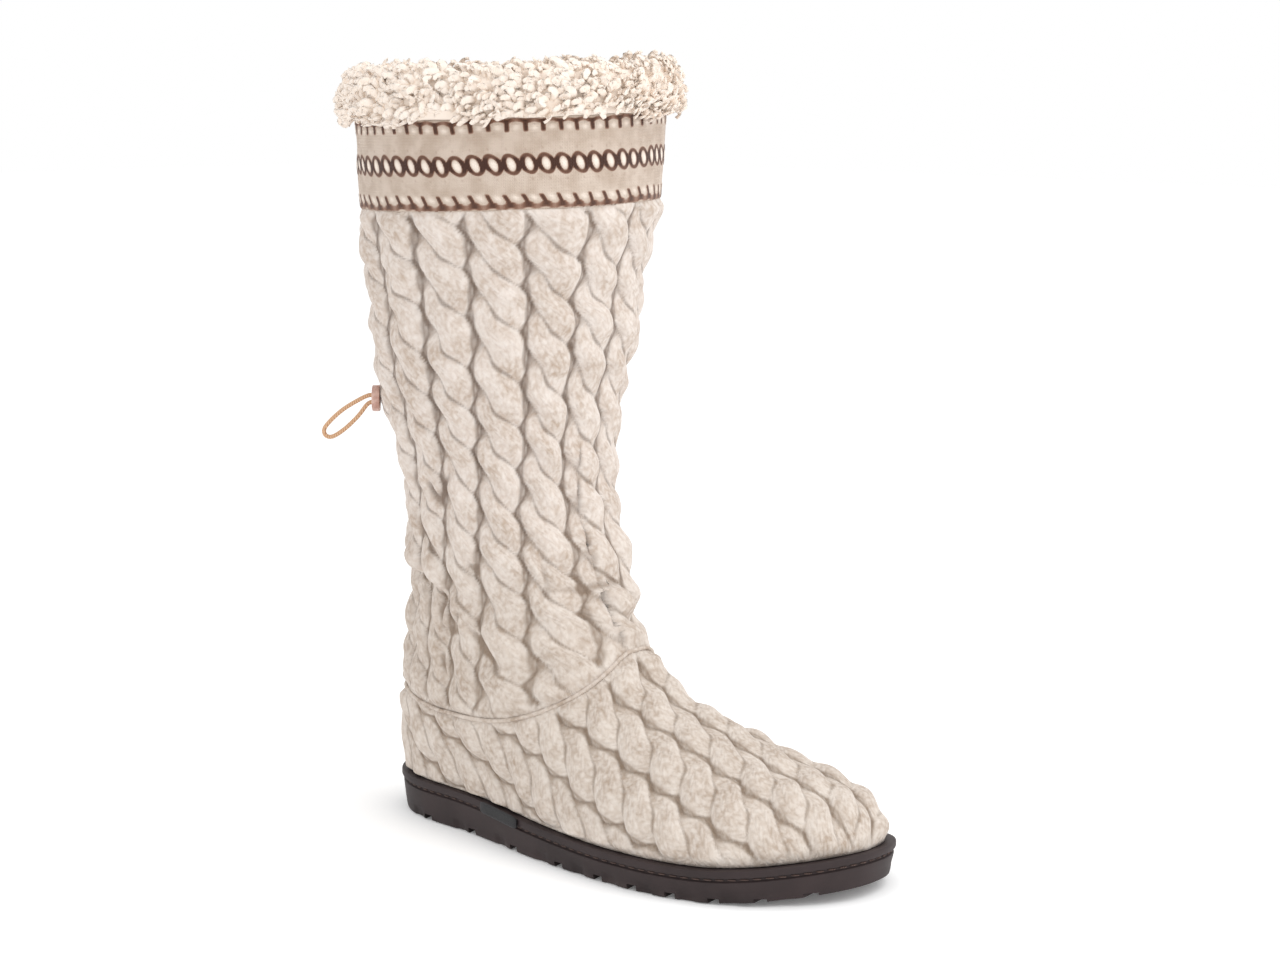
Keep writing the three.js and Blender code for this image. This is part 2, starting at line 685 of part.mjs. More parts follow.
// The elastic loop leaves the button, hangs out and turns back: out from the button's face, and up
const LOOP_ROUTE = [
  { out: 0.3, up: 1.4 },
  { out: 2.5, up: 1.2 },
  { out: 7, up: -1 },
  { out: 13.5, up: -5 },
  { out: 19, up: -9.8 },
  { out: 22.3, up: -14 },
  { out: 21.8, up: -17 },
  { out: 18.6, up: -17.6 },
  { out: 13, up: -14 },
  { out: 7, up: -8.2 },
  { out: 2.9, up: -2.9 },
  { out: 0.3, up: -1.5 },
];

function loopGeometry() {
  const { seat, normal } = buttonFrame();
  const points = LOOP_ROUTE.map(({ out, up }) => {
    const point = seat.clone().addScaledVector(normal, BUTTON_FLOOR + CLEARANCE + out);
    return point.setZ(point.z + up);
  });
  const sides = steps(LOOP_SIDES).slice(0, LOOP_SIDES);
  const section = new THREE.Shape(
    sides.map((t) =>
      new THREE.Vector2(LOOP_CORD / 2, 0).rotateAround(new THREE.Vector2(), 2 * Math.PI * t),
    ),
  );
  return new THREE.ExtrudeGeometry(section, {
    steps: LOOP_STEPS,
    bevelEnabled: false,
    extrudePath: new THREE.CatmullRomCurve3(points),
  });
}

// A plain folded label, sewn in at the sole's top edge and turned down over the lip
function labelGeometry() {
  const corner = (at, out, up) => {
    const y = bend(at) - halfWidth(at, "lateral") - RIM_PROUD - CLEARANCE - out;
    return new THREE.Vector3(soleX(at), y, soleTop(at) - LABEL_DROP + up);
  };
  const rings = steps(6).map((t) => {
    const at = LABEL_AT + ((t - 0.5) * LABEL_LENGTH) / SOLE_LENGTH;
    return [
      corner(at, 0, 0),
      corner(at, 0, LABEL_HEIGHT),
      corner(at, LABEL_THICK, LABEL_HEIGHT),
      corner(at, LABEL_THICK, 0),
    ];
  });
  return loft(rings);
}

const fabric = (color) => new THREE.MeshStandardMaterial({ color, roughness: 0.95, metalness: 0 });
const OATMEAL = fabric(0xd8cabb);
const BAND_KNIT = fabric(0xcdbfb2);
const FLEECE = fabric(0xefe2d2);
const RUBBER = new THREE.MeshStandardMaterial({ color: 0x3f3331, roughness: 0.7, metalness: 0 });
const FOOTBED = fabric(0xe6d8c6);
const ELASTIC = new THREE.MeshStandardMaterial({ color: 0xd0a888, roughness: 0.7, metalness: 0 });
const SHELL = new THREE.MeshStandardMaterial({ color: 0xc9a596, roughness: 0.35, metalness: 0 });
const LABEL = fabric(0x1c1a1c);

const boot = new THREE.Group();
function piece(name, geometry, material) {
  const mesh = new THREE.Mesh(geometry, material);
  mesh.name = name;
  boot.add(mesh);
  return mesh;
}

piece("outsole", outsoleGeometry(), RUBBER);
piece("insole", insoleGeometry(), FOOTBED);
piece("foot_upper", footGeometry(), OATMEAL);
piece("shaft", shaftGeometry(), OATMEAL);
piece("patterned_band", bandGeometry(), BAND_KNIT);
piece("fleece_collar", collarGeometry(), FLEECE);
piece("side_label", labelGeometry(), LABEL);
piece("pull_loop", loopGeometry(), ELASTIC);
const button = piece("button", buttonGeometry(), SHELL);
const { seat, normal } = buttonFrame();
button.position.copy(seat);
button.quaternion.setFromUnitVectors(new THREE.Vector3(0, 1, 0), normal);

export default boot;
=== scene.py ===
# %% [markdown]
# # A tall knitted slipper boot
# The solids of the boot come from a CAD model. This script dresses them: it lays fine knit, fleece,
# rubber and trim over each solid, in the same frame and in metres.
# Most lengths below are written in millimetres, because boots are measured so, and are multiplied by MM last.

import math

import bpy
import numpy as np
from mathutils import Matrix, Vector


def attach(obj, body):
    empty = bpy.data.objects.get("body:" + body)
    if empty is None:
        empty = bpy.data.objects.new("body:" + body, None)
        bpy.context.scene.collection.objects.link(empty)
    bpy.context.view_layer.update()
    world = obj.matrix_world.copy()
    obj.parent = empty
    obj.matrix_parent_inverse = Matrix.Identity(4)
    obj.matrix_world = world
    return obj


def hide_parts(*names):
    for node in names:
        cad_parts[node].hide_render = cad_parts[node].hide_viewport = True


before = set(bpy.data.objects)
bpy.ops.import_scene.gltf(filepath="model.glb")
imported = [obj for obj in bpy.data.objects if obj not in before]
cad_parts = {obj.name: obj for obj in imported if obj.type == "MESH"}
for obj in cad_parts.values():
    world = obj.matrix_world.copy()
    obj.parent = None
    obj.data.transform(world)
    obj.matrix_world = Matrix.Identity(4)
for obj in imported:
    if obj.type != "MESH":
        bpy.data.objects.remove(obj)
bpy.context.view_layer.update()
MM = 0.001
TURN = 2 * math.pi
print("solids:", ", ".join(sorted(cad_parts)))

# %% [markdown]
# ## The camera
# A product photograph of footwear is taken from a low place with a long lens, so that the shaft doesn't
# lean. The camera is placed by its turn and height round the boot, and aimed at the middle of the picture.

# %% Camera
IMAGE_WIDTH = 1280
IMAGE_HEIGHT = 960
FOCAL_PIXELS = 2927.7
SENSOR = 36.0
AZIMUTH = math.radians(43.87)
ELEVATION = math.radians(7.42)
ROLL = math.radians(0.18)
LOOK_AT = Vector((64, 0, 180)) * MM
LOOK_AT_PIXEL = (577.7, 434.8)
DISTANCE = 1300 * MM


def toward(azimuth, elevation):
    """From the boot to a camera or a light at this turn and height."""
    level = math.cos(elevation)
    return Vector((math.sin(azimuth) * level, -math.cos(azimuth) * level, math.sin(elevation)))


def camera_axes():
    """Right, up and back of a camera that looks at LOOK_AT, before it is aimed at the picture's middle."""
    back = toward(AZIMUTH, ELEVATION)
    level = Vector((math.cos(AZIMUTH), math.sin(AZIMUTH), 0))
    upright = back.cross(level)
    right = math.cos(ROLL) * level + math.sin(ROLL) * upright
    return right, back.cross(right), back


def aimed_camera():
    right, up, back = camera_axes()
    across = (IMAGE_WIDTH / 2 - LOOK_AT_PIXEL[0]) / FOCAL_PIXELS
    down = (IMAGE_HEIGHT / 2 - LOOK_AT_PIXEL[1]) / FOCAL_PIXELS
    new_back = (back - across * right + down * up).normalized()
    new_right = (right - right.dot(new_back) * new_back).normalized()
    turn = Matrix((new_right, new_back.cross(new_right), new_back)).transposed()
    bpy.ops.object.camera_add(location=LOOK_AT + DISTANCE * back)
    camera = bpy.context.active_object
    camera.rotation_euler = turn.to_euler()
    camera.data.sensor_width = SENSOR
    camera.data.lens = FOCAL_PIXELS / IMAGE_WIDTH * SENSOR
    camera.data.clip_end = 20
    return camera


bpy.context.scene.camera = aimed_camera()
print("lens", round(bpy.context.scene.camera.data.lens, 1), "mm")

# %% [markdown]
# ## The boot's form
# Knit has no hard edges, so the boot's form is a field: negative inside and positive outside. One field
# is a stack of ovals for the shaft, the other a last-shaped foot, and the two melt into each other at the
# ankle. The shape could be sculpted or lofted instead, but a field can be asked for its surface at any
# place, and so the knit, the seam, the lining, the sole and the button all meet on the same form.

# %% Sizes and tables of the form
SOLE_LENGTH = 265
BALL_WIDTH = 99
HEEL_WIDTH = 68
HEEL_SET = 36
CLEARANCE = 0.35
SOLE_THICK_HEEL = 18.5
SOLE_THICK_BALL = 14.5
TOE_SPRING = 6
HEEL_BEVEL = 1.6
INSTEP_HEIGHT = 78
CHEEK_BULGE = 1.5
EDGE_INSET = 3
SHAFT_FOOT = 46
SHAFT_HEIGHT = 236
SHAFT_TOP = SHAFT_FOOT + SHAFT_HEIGHT
SHAFT_RADIUS = 66
SHAFT_SET = 22
ANKLE_BLEND = 22
TOP_LEAN = math.radians(1.6)
SEAM_SIDE = 55
SEAM_FRONT = 88
SEAM_BACK = 60
SEAM_SHARPNESS = 6.5
WALL = 3
SEAM_GAP = 0.5
# shares of the sole's length: its round ends, the arch, the wedge under the heel and the lifted toe
HEEL_ROUND = 0.16
TOE_ROUND = 0.3
TOE_BLUNTNESS = 2.6
ARCH_FROM, ARCH_RUN = 0.22, 0.4
WEDGE_FROM, WEDGE_RUN = 0.2, 0.45
TOE_LIFT_FROM = 0.8
HEEL_BEVEL_RUN = 0.06
# shares of the ball's width by which the middle line swings
TOE_SWING = 0.055
ARCH_SWING = 0.05

# share of the sole's length, inner half width, outer half width
OUTLINE = np.array(
    [
        (0, 0.47, 0.5),
        (0.12, 0.49, 0.51),
        (0.25, 0.46, 0.53),
        (0.4, 0.37, 0.53),
        (0.55, 0.37, 0.51),
        (0.68, 0.45, 0.53),
        (0.8, 0.5, 0.53),
        (0.9, 0.53, 0.53),
        (1, 0.54, 0.47),
    ]
)
# share of the sole's length, height of the top line as a share of the instep's
RIDGE = np.array(
    [
        (0, 0),
        (0.008, 0.3),
        (0.03, 0.62),
        (0.08, 1.0),
        (0.2, 1.28),
        (0.36, 1.28),
        (0.46, 1),
        (0.55, 0.805),
        (0.62, 0.695),
        (0.7, 0.605),
        (0.77, 0.52),
        (0.85, 0.43),
        (0.905, 0.362),
        (0.95, 0.275),
        (0.98, 0.17),
        (1, 0),
    ]
)
# share of the shaft's height, shift to the front, shift to the side, half length, half width
SHAFT_FORM = np.array(
    [
        (-0.13, 0.24, -0.06, 0.6, 0.3),
        (-0.04, 0.24, -0.06, 0.82, 0.47),
        (0.03, 0.24, -0.06, 0.9, 0.54),
        (0.12, 0.24, -0.04, 0.88, 0.54),
        (0.22, 0.115, -0.02, 0.76, 0.56),
        (0.27, 0.12, -0.01, 0.765, 0.56),
        (0.33, 0.07, 0, 0.76, 0.65),
        (0.42, 0.01, 0, 0.7, 0.66),
        (0.53, -0.03, 0, 0.735, 0.69),
        (0.65, -0.08, 0, 0.815, 0.79),
        (0.78, -0.04, 0, 0.89, 0.87),
        (0.83, -0.05, 0, 0.89, 0.88),
        (0.88, -0.05, 0, 0.93, 0.92),
        (0.94, -0.02, 0, 0.97, 0.96),
        (1, 0, 0, 1, 1),
    ]
)


def ease(t):
    t = np.clip(t, 0, 1)
    return t * t * (3 - 2 * t)


def mix(a, b, t):
    return a + (b - a) * t


def follow(table, column, place):
    """A smooth line through one column of a table, read at these places."""
    along, values = table[:, 0], table[:, column]
    last = len(table) - 1
    i = np.clip(np.searchsorted(along, place) - 1, 0, last - 1)

    def slope(k):
        low, high = np.maximum(k - 1, 0), np.minimum(k + 1, last)
        return (values[high] - values[low]) / (along[high] - along[low])

    span = along[i + 1] - along[i]
    t = np.clip((place - along[i]) / span, 0, 1)
    rise = mix(values[i], values[i + 1], ease(t))
    return rise + span * (slope(i) * t * (1 - t) ** 2 - slope(i + 1) * t * t * (1 - t))


print("shaft from", SHAFT_FOOT, "to", SHAFT_TOP, "mm")


# %% The sole's outline
def half_width(at, side):
    """Half width of the sole on one side: column 1 of OUTLINE is the inner side, 2 the outer."""
    width = mix(HEEL_WIDTH, BALL_WIDTH, ease((at - ARCH_FROM) / ARCH_RUN))
    heel = np.maximum(0, 1 - at / HEEL_ROUND)
    toe = np.maximum(0, 1 - (1 - at) / TOE_ROUND)
    rounding = np.sqrt(np.maximum(0, 1 - heel**2)) * np.sqrt(np.maximum(0, 1 - toe**TOE_BLUNTNESS))
    return follow(OUTLINE, side, at) * width * rounding


def bend(at):
    """How far the sole's middle line lies to the inner side: less at the arch, more at the toe."""
    toe = TOE_SWING * ease((at - 1 + TOE_ROUND) / TOE_ROUND)
    return BALL_WIDTH * (toe - ARCH_SWING * np.sin(math.pi * at))


def toe_lift(at):
    return TOE_SPRING * np.maximum(0, (at - TOE_LIFT_FROM) / (1 - TOE_LIFT_FROM)) ** 1.7


def sole_bottom(at):
    return toe_lift(at) + HEEL_BEVEL * np.maximum(0, 1 - at / HEEL_BEVEL_RUN) ** 2


def sole_top(at):
    return mix(SOLE_THICK_HEEL, SOLE_THICK_BALL, ease((at - WEDGE_FROM) / WEDGE_RUN)) + toe_lift(at)


def sole_share(x):
    return np.clip((x + HEEL_SET) / SOLE_LENGTH, 0, 1)


def outline_points(count):
    """Even plan points round the sole, from the heel along the outer side, and their inward normals."""
    place = (1 - np.cos(np.linspace(0, math.pi, 500))) / 2
    outer = np.stack([place, bend(place) - half_width(place, 2)], 1)
    inner = np.stack([place, bend(place) + half_width(place, 1)], 1)[::-1]
    loop = np.concatenate([outer, inner[1:]])
    loop[:, 0] = loop[:, 0] * SOLE_LENGTH - HEEL_SET
    length = np.concatenate([[0], np.cumsum(np.hypot(*np.diff(loop, axis=0).T))])
    even = np.linspace(0, length[-1], count + 1)[:-1]
    points = np.stack([np.interp(even, length, loop[:, k]) for k in (0, 1)], 1)
    along = np.roll(points, -1, 0) - np.roll(points, 1, 0)
    along /= np.hypot(*along.T)[:, None]
    return points, np.stack([-along[:, 1], along[:, 0]], 1)


print("ball", round(float(half_width(0.75, 1) + half_width(0.75, 2)), 1), "mm wide")


# %% The field and its surface
def shaft_field(x, y, z):
    share = (z - SHAFT_FOOT) / SHAFT_HEIGHT
    shift, side, long, wide = (SHAFT_RADIUS * follow(SHAFT_FORM, k, share) for k in (1, 2, 3, 4))
    reach = np.hypot((x - SHAFT_SET - shift) / long, (y - side) / wide)
    return (reach - 1) * np.minimum(long, wide)


def foot_field(x, y, z):
    share = (x + HEEL_SET - EDGE_INSET) / (SOLE_LENGTH - 2 * EDGE_INSET)
    at = np.clip(share, 1e-4, 1 - 1e-4)
    across = y - bend(at)
    top = np.maximum(follow(RIDGE, 1, at) * INSTEP_HEIGHT, 1)
    rise = np.maximum(0, z - sole_top(at)) / top
    bulge = CHEEK_BULGE * np.sin(math.pi * np.minimum(1, rise * 1.6))
    side = np.where(across > 0, half_width(at, 1), half_width(at, 2))
    width = np.maximum(side - EDGE_INSET + bulge, 1)
    reach = ((np.abs(across) / width) ** 2.3 + rise**2.1) ** (1 / 2.2)
    return np.where((share <= 0) | (share >= 1), SOLE_LENGTH, (reach - 1) * np.minimum(width, top))


def boot_field(x, y, z):
    a, b = foot_field(x, y, z), shaft_field(x, y, z)
    share = np.maximum(0, ANKLE_BLEND - np.abs(a - b)) / ANKLE_BLEND
    return np.minimum(a, b) - share**2 * ANKLE_BLEND / 4


# long steps out of the form, in millimetres, and how often the last one is halved
MARCH = 3.0
HALVINGS = 12


def on_form(heading, level, centre_x=SHAFT_SET, centre_y=0.0):
    """Points of the surface at these headings and levels, seen from a place inside: a march out of the
    form in long steps, and then a closer and closer look between the last two."""
    heading, level, cx, cy = (
        a.astype(float).ravel() for a in np.broadcast_arrays(heading, level, centre_x, centre_y)
    )
    c, s = np.cos(heading), np.sin(heading)
    outer = np.full(len(level), MARCH)
    active = np.arange(len(level))
    while len(active):
        r = outer[active]
        field = boot_field(cx[active] + r * c[active], cy[active] + r * s[active], level[active])
        active = active[field < 0]
        outer[active] += MARCH
    inner = outer - MARCH
    for _ in range(HALVINGS):
        middle = (inner + outer) / 2
        within = boot_field(cx + middle * c, cy + middle * s, level) < 0
        inner, outer = np.where(within, middle, inner), np.where(within, outer, middle)
    return np.stack([cx + inner * c, cy + inner * s, level], 1)


def outward(points):
    """Unit normals of the field."""
    step = 0.5
    slopes = []
    for axis in range(3):
        shift = np.zeros(3)
        shift[axis] = step
        ahead, behind = (points + shift).T, (points - shift).T
        slopes.append(boot_field(*ahead) - boot_field(*behind))
    normal = np.stack(slopes, -1)
    return normal / np.linalg.norm(normal, axis=-1, keepdims=True)


def raised(points, relief):
    """Points of the form, moved out of it by this much."""
    normal = outward(points.reshape(-1, 3)).reshape(points.shape)
    return points + normal * relief[..., None]


def sunk(points, depth):
    """Moved level and inwards, square to the plan, until they lie this deep under the surface."""
    least_slope = 0.4
    normal = outward(points)
    normal[:, 2] = 0
    size = np.linalg.norm(normal, axis=1, keepdims=True)
    return points - normal / size * depth / np.maximum(least_slope, size)


def leaned(points):
    """The top leans: its front and inner side stand higher."""
    share = ease((points[..., 2] - SHAFT_FOOT) / SHAFT_HEIGHT)
    rise = (points[..., 0] - SHAFT_SET + points[..., 1]) * math.tan(TOP_LEAN)
    moved = points.copy()
    moved[..., 2] += rise * share
    return moved


def seam_level(heading):
    """The seam runs level round the heel and climbs steeply to the instep."""
    ahead = np.cos(heading)
    front = mix(SEAM_SIDE, SEAM_FRONT, np.maximum(ahead, 0) ** SEAM_SHARPNESS)
    return np.where(ahead > 0, front, mix(SEAM_SIDE, SEAM_BACK, ahead**2))


WAVES = 7


def ripple(points, size, seed):
    """A soft unevenness of about -1 to 1, in lumps of about this size."""
    draw = np.random.default_rng(seed)
    total = np.zeros(points.shape[:-1])
    for _ in range(WAVES):
        direction = draw.normal(size=3)
        direction *= TURN / (size * draw.uniform(1.2, 2.4) * np.linalg.norm(direction))
        total += np.sin(points @ direction + draw.uniform(0, TURN))
    return total / math.sqrt(WAVES) / 1.2


def lumps(points, layers):
    """Ripples laid over each other: each layer has its height, its size and its seed."""
    return sum(height * ripple(points, size, seed) for height, size, seed in layers)


print("height of the shaft's knit", SHAFT_TOP, "mm; seam in front", float(seam_level(0.0)))

# %% [markdown]
# ## Shared ways of making
# Cloth starts as a flat panel, and so does each soft piece here: a grid primitive is laid over a table of
# points, row by row, and its edges are sewn by merging doubles. The panel's own UV map stays on it, so a
# pattern can follow the rows. Small things that repeat, such as stitches and locks of fleece, are modelled
# once and copied.


# %% Panels, copies and colours
def deselect_all():
    bpy.ops.object.select_all(action="DESELECT")


SEW_REACH = 0.02


def sew(piece):
    deselect_all()
    piece.select_set(True)
    bpy.context.view_layer.objects.active = piece
    bpy.ops.object.mode_set(mode="EDIT")
    bpy.ops.mesh.select_all(action="SELECT")
    bpy.ops.mesh.remove_doubles(threshold=SEW_REACH * MM)
    bpy.ops.object.mode_set(mode="OBJECT")
    bpy.ops.object.shade_smooth()


def panel(name, points, attributes=None):
    """A grid primitive laid over points[row, column] and sewn where its edges meet."""
    deselect_all()
    rows, columns = points.shape[0] - 1, points.shape[1] - 1
    bpy.ops.mesh.primitive_grid_add(x_subdivisions=columns, y_subdivisions=rows)
    piece = bpy.context.active_object
    piece.name = name
    mesh = piece.data
    flat = np.zeros(len(mesh.vertices) * 3)
    mesh.vertices.foreach_get("co", flat)
    grid = flat.reshape(-1, 3).round(5)
    order = np.lexsort((grid[:, 0], grid[:, 1]))
    placed = np.zeros_like(grid)
    placed[order] = points.reshape(-1, 3) * MM
    mesh.vertices.foreach_set("co", placed.ravel())
    for key, values in (attributes or {}).items():
        layer = mesh.attributes.new(key, "FLOAT", "POINT")
        spread = np.zeros(len(grid))
        spread[order] = values.ravel()
        layer.data.foreach_set("value", spread)
    sew(piece)
    print(name, len(mesh.polygons), "faces")
    return piece


def closed(points):
    """The first column again at the end, so that a panel meets itself."""
    return np.concatenate([points, points[:, :1]], 1)


def outside_only(fields, inner_rows):
    """Values of a panel's outer rows, and zeros for its rows inside."""
    return {key: closed(np.pad(value, ((0, inner_rows), (0, 0)))) for key, value in fields.items()}


def copies(name, template, matrices, attributes=None, per_vertex=None):
    """One mesh with a copy of the template at each matrix. Attributes hold one number a copy, and
    per_vertex one number for each of the template's vertices."""
    mesh = template.data
    corners = np.array([v.co for v in mesh.vertices])
    faces = [tuple(p.vertices) for p in mesh.polygons]
    placed = np.einsum("nij,vj->nvi", matrices[:, :3, :3], corners) + matrices[:, None, :3, 3]
    count = len(corners)
    made = bpy.data.meshes.new(name)
    made.from_pydata(
        placed.reshape(-1, 3).tolist(),
        [],
        [tuple(v + k * count for v in face) for k in range(len(matrices)) for face in faces],
    )
    piece = bpy.data.objects.new(name, made)
    bpy.context.scene.collection.objects.link(piece)
    for key, values in (attributes or {}).items():
        layer = made.attributes.new(key, "FLOAT", "POINT")
        layer.data.foreach_set("value", np.repeat(values, count))
    for key, values in (per_vertex or {}).items():
        layer = made.attributes.new(key, "FLOAT", "POINT")
        layer.data.foreach_set("value", np.tile(values, len(matrices)))
    made.shade_smooth()
    bpy.data.objects.remove(template)
    print(name, len(matrices), "copies,", len(made.polygons), "faces")
    return piece


def paint(code):
    """A screen colour such as #d9cdc3, as the linear values that shaders use."""
    screen = [int(code[k : k + 2], 16) / 255 for k in (1, 3, 5)]
    linear = [c / 12.92 if c <= 0.04045 else ((c + 0.055) / 1.055) ** 2.4 for c in screen]
    return (*linear, 1.0)


def dress(piece, material, slot, *nodes):
    """Every piece of this boot rides on its one body, stands for a solid and takes a finish."""
    piece.data.materials.append(material)
    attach(piece, "root")
    if nodes:
        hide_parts(*nodes)
    return piece


print("a mid grey is", [round(value, 3) for value in paint("#808080")])


# %% Small helpers for node trees
def add(tree, kind, inputs=None, **settings):
    """A node with its settings; inputs may hold numbers or other nodes' sockets."""
    made = tree.nodes.new(kind)
    for key, value in settings.items():
        setattr(made, key, value)
    for key, value in (inputs or {}).items():
        if isinstance(value, bpy.types.NodeSocket):
            tree.links.new(value, made.inputs[key])
        else:
            made.inputs[key].default_value = value
    return made


def calc(tree, operation, *values):
    """A math node's answer."""
    return add(tree, "ShaderNodeMath", dict(enumerate(values)), operation=operation).outputs[0]


def blended(tree, share, a, b):
    """Colour a where share is 0, colour b where it is 1."""
    return add(tree, "ShaderNodeMix", {0: share, 6: a, 7: b}, data_type="RGBA").outputs[2]


def ranged(tree, value, low, high):
    """0 below low, 1 above high, smooth between."""
    inputs = {"Value": value, "From Min": low, "From Max": high}
    return add(tree, "ShaderNodeMapRange", inputs, interpolation_type="SMOOTHSTEP").outputs[0]


def read(tree, name):
    return add(tree, "ShaderNodeAttribute", attribute_name=name).outputs["Fac"]


def place_on(tree, kind="Object"):
    return add(tree, "ShaderNodeTexCoord").outputs[kind]


def height_on(tree):
    """Height over the floor, in metres."""
    return add(tree, "ShaderNodeSeparateXYZ", {0: place_on(tree)}).outputs[2]


def noise(tree, scale, detail, roughness=0.5):
    inputs = {"Vector": place_on(tree), "Scale": scale, "Detail": detail, "Roughness": roughness}
    return add(tree, "ShaderNodeTexNoise", inputs).outputs["Fac"]


def new_group(name, inputs, outputs):
    tree = bpy.data.node_groups.new(name, "ShaderNodeTree")
    for label, kind in inputs:
        tree.interface.new_socket(name=label, in_out="INPUT", socket_type=kind)
    for label, kind in outputs:
        tree.interface.new_socket(name=label, in_out="OUTPUT", socket_type=kind)
    return tree, tree.nodes.new("NodeGroupInput"), tree.nodes.new("NodeGroupOutput")


def use_group(tree, group, inputs):
    return add(tree, "ShaderNodeGroup", inputs, node_tree=group)


def finish_material(name, tree_maker, roughness, sheen=0.0, bump=0.5, depth=0.4):
    """A Principled surface; tree_maker gives its colour and the height for its bump."""
    material = bpy.data.materials.new(name)
    material.use_nodes = True
    tree = material.node_tree
    surface = tree.nodes["Principled BSDF"]
    color, height = tree_maker(tree)
    tree.links.new(color, surface.inputs["Base Color"])
    inputs = {"Height": height, "Strength": bump, "Distance": depth * MM}
    bumped = add(tree, "ShaderNodeBump", inputs)
    tree.links.new(bumped.outputs[0], surface.inputs["Normal"])
    surface.inputs["Roughness"].default_value = roughness
    surface.inputs["Sheen Weight"].default_value = sheen
    surface.inputs["Specular IOR Level"].default_value = 0.3
    print("finish:", name)
    return material


# %% [markdown]
# ## Effects that several finishes share
# Wool yarn is never one colour: it is mottled along the strand and has a fuzz of loose hairs. Knitting
# shows its stitches as columns of small V shapes. Both effects are node groups, so that shaft, foot, band
# and lining use the same ones with their own values.


# %% Yarn and stitch groups
def yarn_group():
    """Mottle is the slow change of colour, Speck the light hairs, Fuzz the height of loose hairs."""
    inputs = [("Grain", "NodeSocketFloat")]
    outputs = [("Mottle", "NodeSocketFloat"), ("Speck", "NodeSocketFloat"), ("Fuzz", "NodeSocketFloat")]
    tree, start, end = new_group("Yarn", inputs, outputs)

    def grain(factor, detail):
        return noise(tree, calc(tree, "MULTIPLY", start.outputs["Grain"], factor), detail, roughness=0.6)

    tree.links.new(ranged(tree, grain(0.22, 3.0), 0.3, 0.7), end.inputs["Mottle"])
    tree.links.new(ranged(tree, grain(1.0, 2.0), 0.35, 0.7), end.inputs["Speck"])
    tree.links.new(grain(3.0, 3.0), end.inputs["Fuzz"])
    return tree


def stitch_group():
    """Columns of V shaped stitches over two running coordinates."""
    inputs = [(label, "NodeSocketFloat") for label in ("Across", "Along", "Slant")]
    tree, start, end = new_group("Stitches", inputs, [("Height", "NodeSocketFloat")])
    off = calc(tree, "SUBTRACT", calc(tree, "FRACT", start.outputs["Across"]), 0.5)
    off = calc(tree, "ABSOLUTE", off)
    lean = calc(tree, "MULTIPLY", off, start.outputs["Slant"])
    turn = calc(tree, "MULTIPLY", calc(tree, "ADD", start.outputs["Along"], lean), TURN)
    leg = calc(tree, "MULTIPLY_ADD", calc(tree, "SINE", turn), 0.5, 0.5)
    ridge = calc(tree, "SINE", calc(tree, "MULTIPLY", off, TURN))
    height = calc(tree, "MULTIPLY", calc(tree, "POWER", leg, 0.6), calc(tree, "ABSOLUTE", ridge))
    tree.links.new(height, end.inputs["Height"])
    return tree


YARN = yarn_group()
STITCHES = stitch_group()
print("groups:", YARN.name, STITCHES.name)

# %% [markdown]
# ## The cable knit
# A rope cable is two strands of stitches that wind round each other. Seen from outside, each strand is a
# rounded lobe that crosses to the front and dives under the next one, with a straight valley between one
# cable and its neighbour. Cables could be modelled as real twisted ropes, but a knitted cable is flat and
# grows out of its cloth. So the lobes are raised out of the panel by a formula, and stay real geometry that
# shows in the outline. Each point also remembers how far across and along its strand it is, and the
# stitches in the material follow that.

# %% Height of a rope cable
# a strand's swing and half width as shares of a column, its height at the back, and its lead in radians
STRAND_SWING = 0.2
STRAND_HALF = 0.38
STRAND_BACK = 0.18
STRAND_LEAD = 0.5
# creases inside a cable, and the groove between two: how strong the creases' painted shade is, half width,
# depth, and the patch averaged over
INNER_CREASE_SHADE = 0.75
GROOVE_HALF = 0.055
GROOVE_DEPTH = 0.45
CREASE_SOFT = 0.02
CABLE_PITCH = 19.5
# how round a strand is, how far apart in height two strands still take painted crease shade, how high the
# valleys take painted shade, and how strong the groove's painted shade is
STRAND_ROUND = 0.6
MEETING = 0.32
VALLEY_SHADE_TOP = 0.3
GROOVE_SHADE = 0.85


def columns_of_cable(across, along):
    """Height from 0 to 1 of cables side by side, the place across the strand on top, and the painted shade of
    creases.
    Each cable starts about a third of a crossing after its neighbour, with a straight groove between them.
    A strand is at its highest a little before it crosses the middle, so its lower end shows as a hook."""
    own = np.floor(across)
    height, second, place, owner, other = (np.zeros(np.broadcast(across, along).shape) for _ in range(5))
    for column in (own - 1, own, own + 1):
        for strand in (0, 1):
            turn = math.pi * (along + column / 3 + 0.03 * np.sin(2.4 * column) + strand)
            front = 0.5 + 0.5 * np.sin(turn + STRAND_LEAD)
            off = (across - column - 0.5 - STRAND_SWING * np.cos(turn)) / STRAND_HALF
            lobe = np.maximum(0, 1 - off * off) ** STRAND_ROUND * mix(STRAND_BACK, 1, front)
            above = lobe > height
            other = np.where(above, owner, np.where(lobe > second, column, other))
            second = np.where(above, height, np.maximum(second, lobe))
            owner = np.where(above, column, owner)
            place = np.where(above, off, place)
            height = np.maximum(height, lobe)
    # painted shade where two strands meet (fainter inside one cable), in the low valleys and in the grooves
    meeting = (1 - ease((height - second) / MEETING)) * np.where(owner == other, INNER_CREASE_SHADE, 1)
    groove = np.exp(-(((across - np.round(across)) / GROOVE_HALF) ** 2))
    crease_shade = np.maximum(np.maximum(meeting, 1 - height / VALLEY_SHADE_TOP), GROOVE_SHADE * groove)
    return height * (1 - GROOVE_DEPTH * groove), place, np.clip(crease_shade, 0, 1)


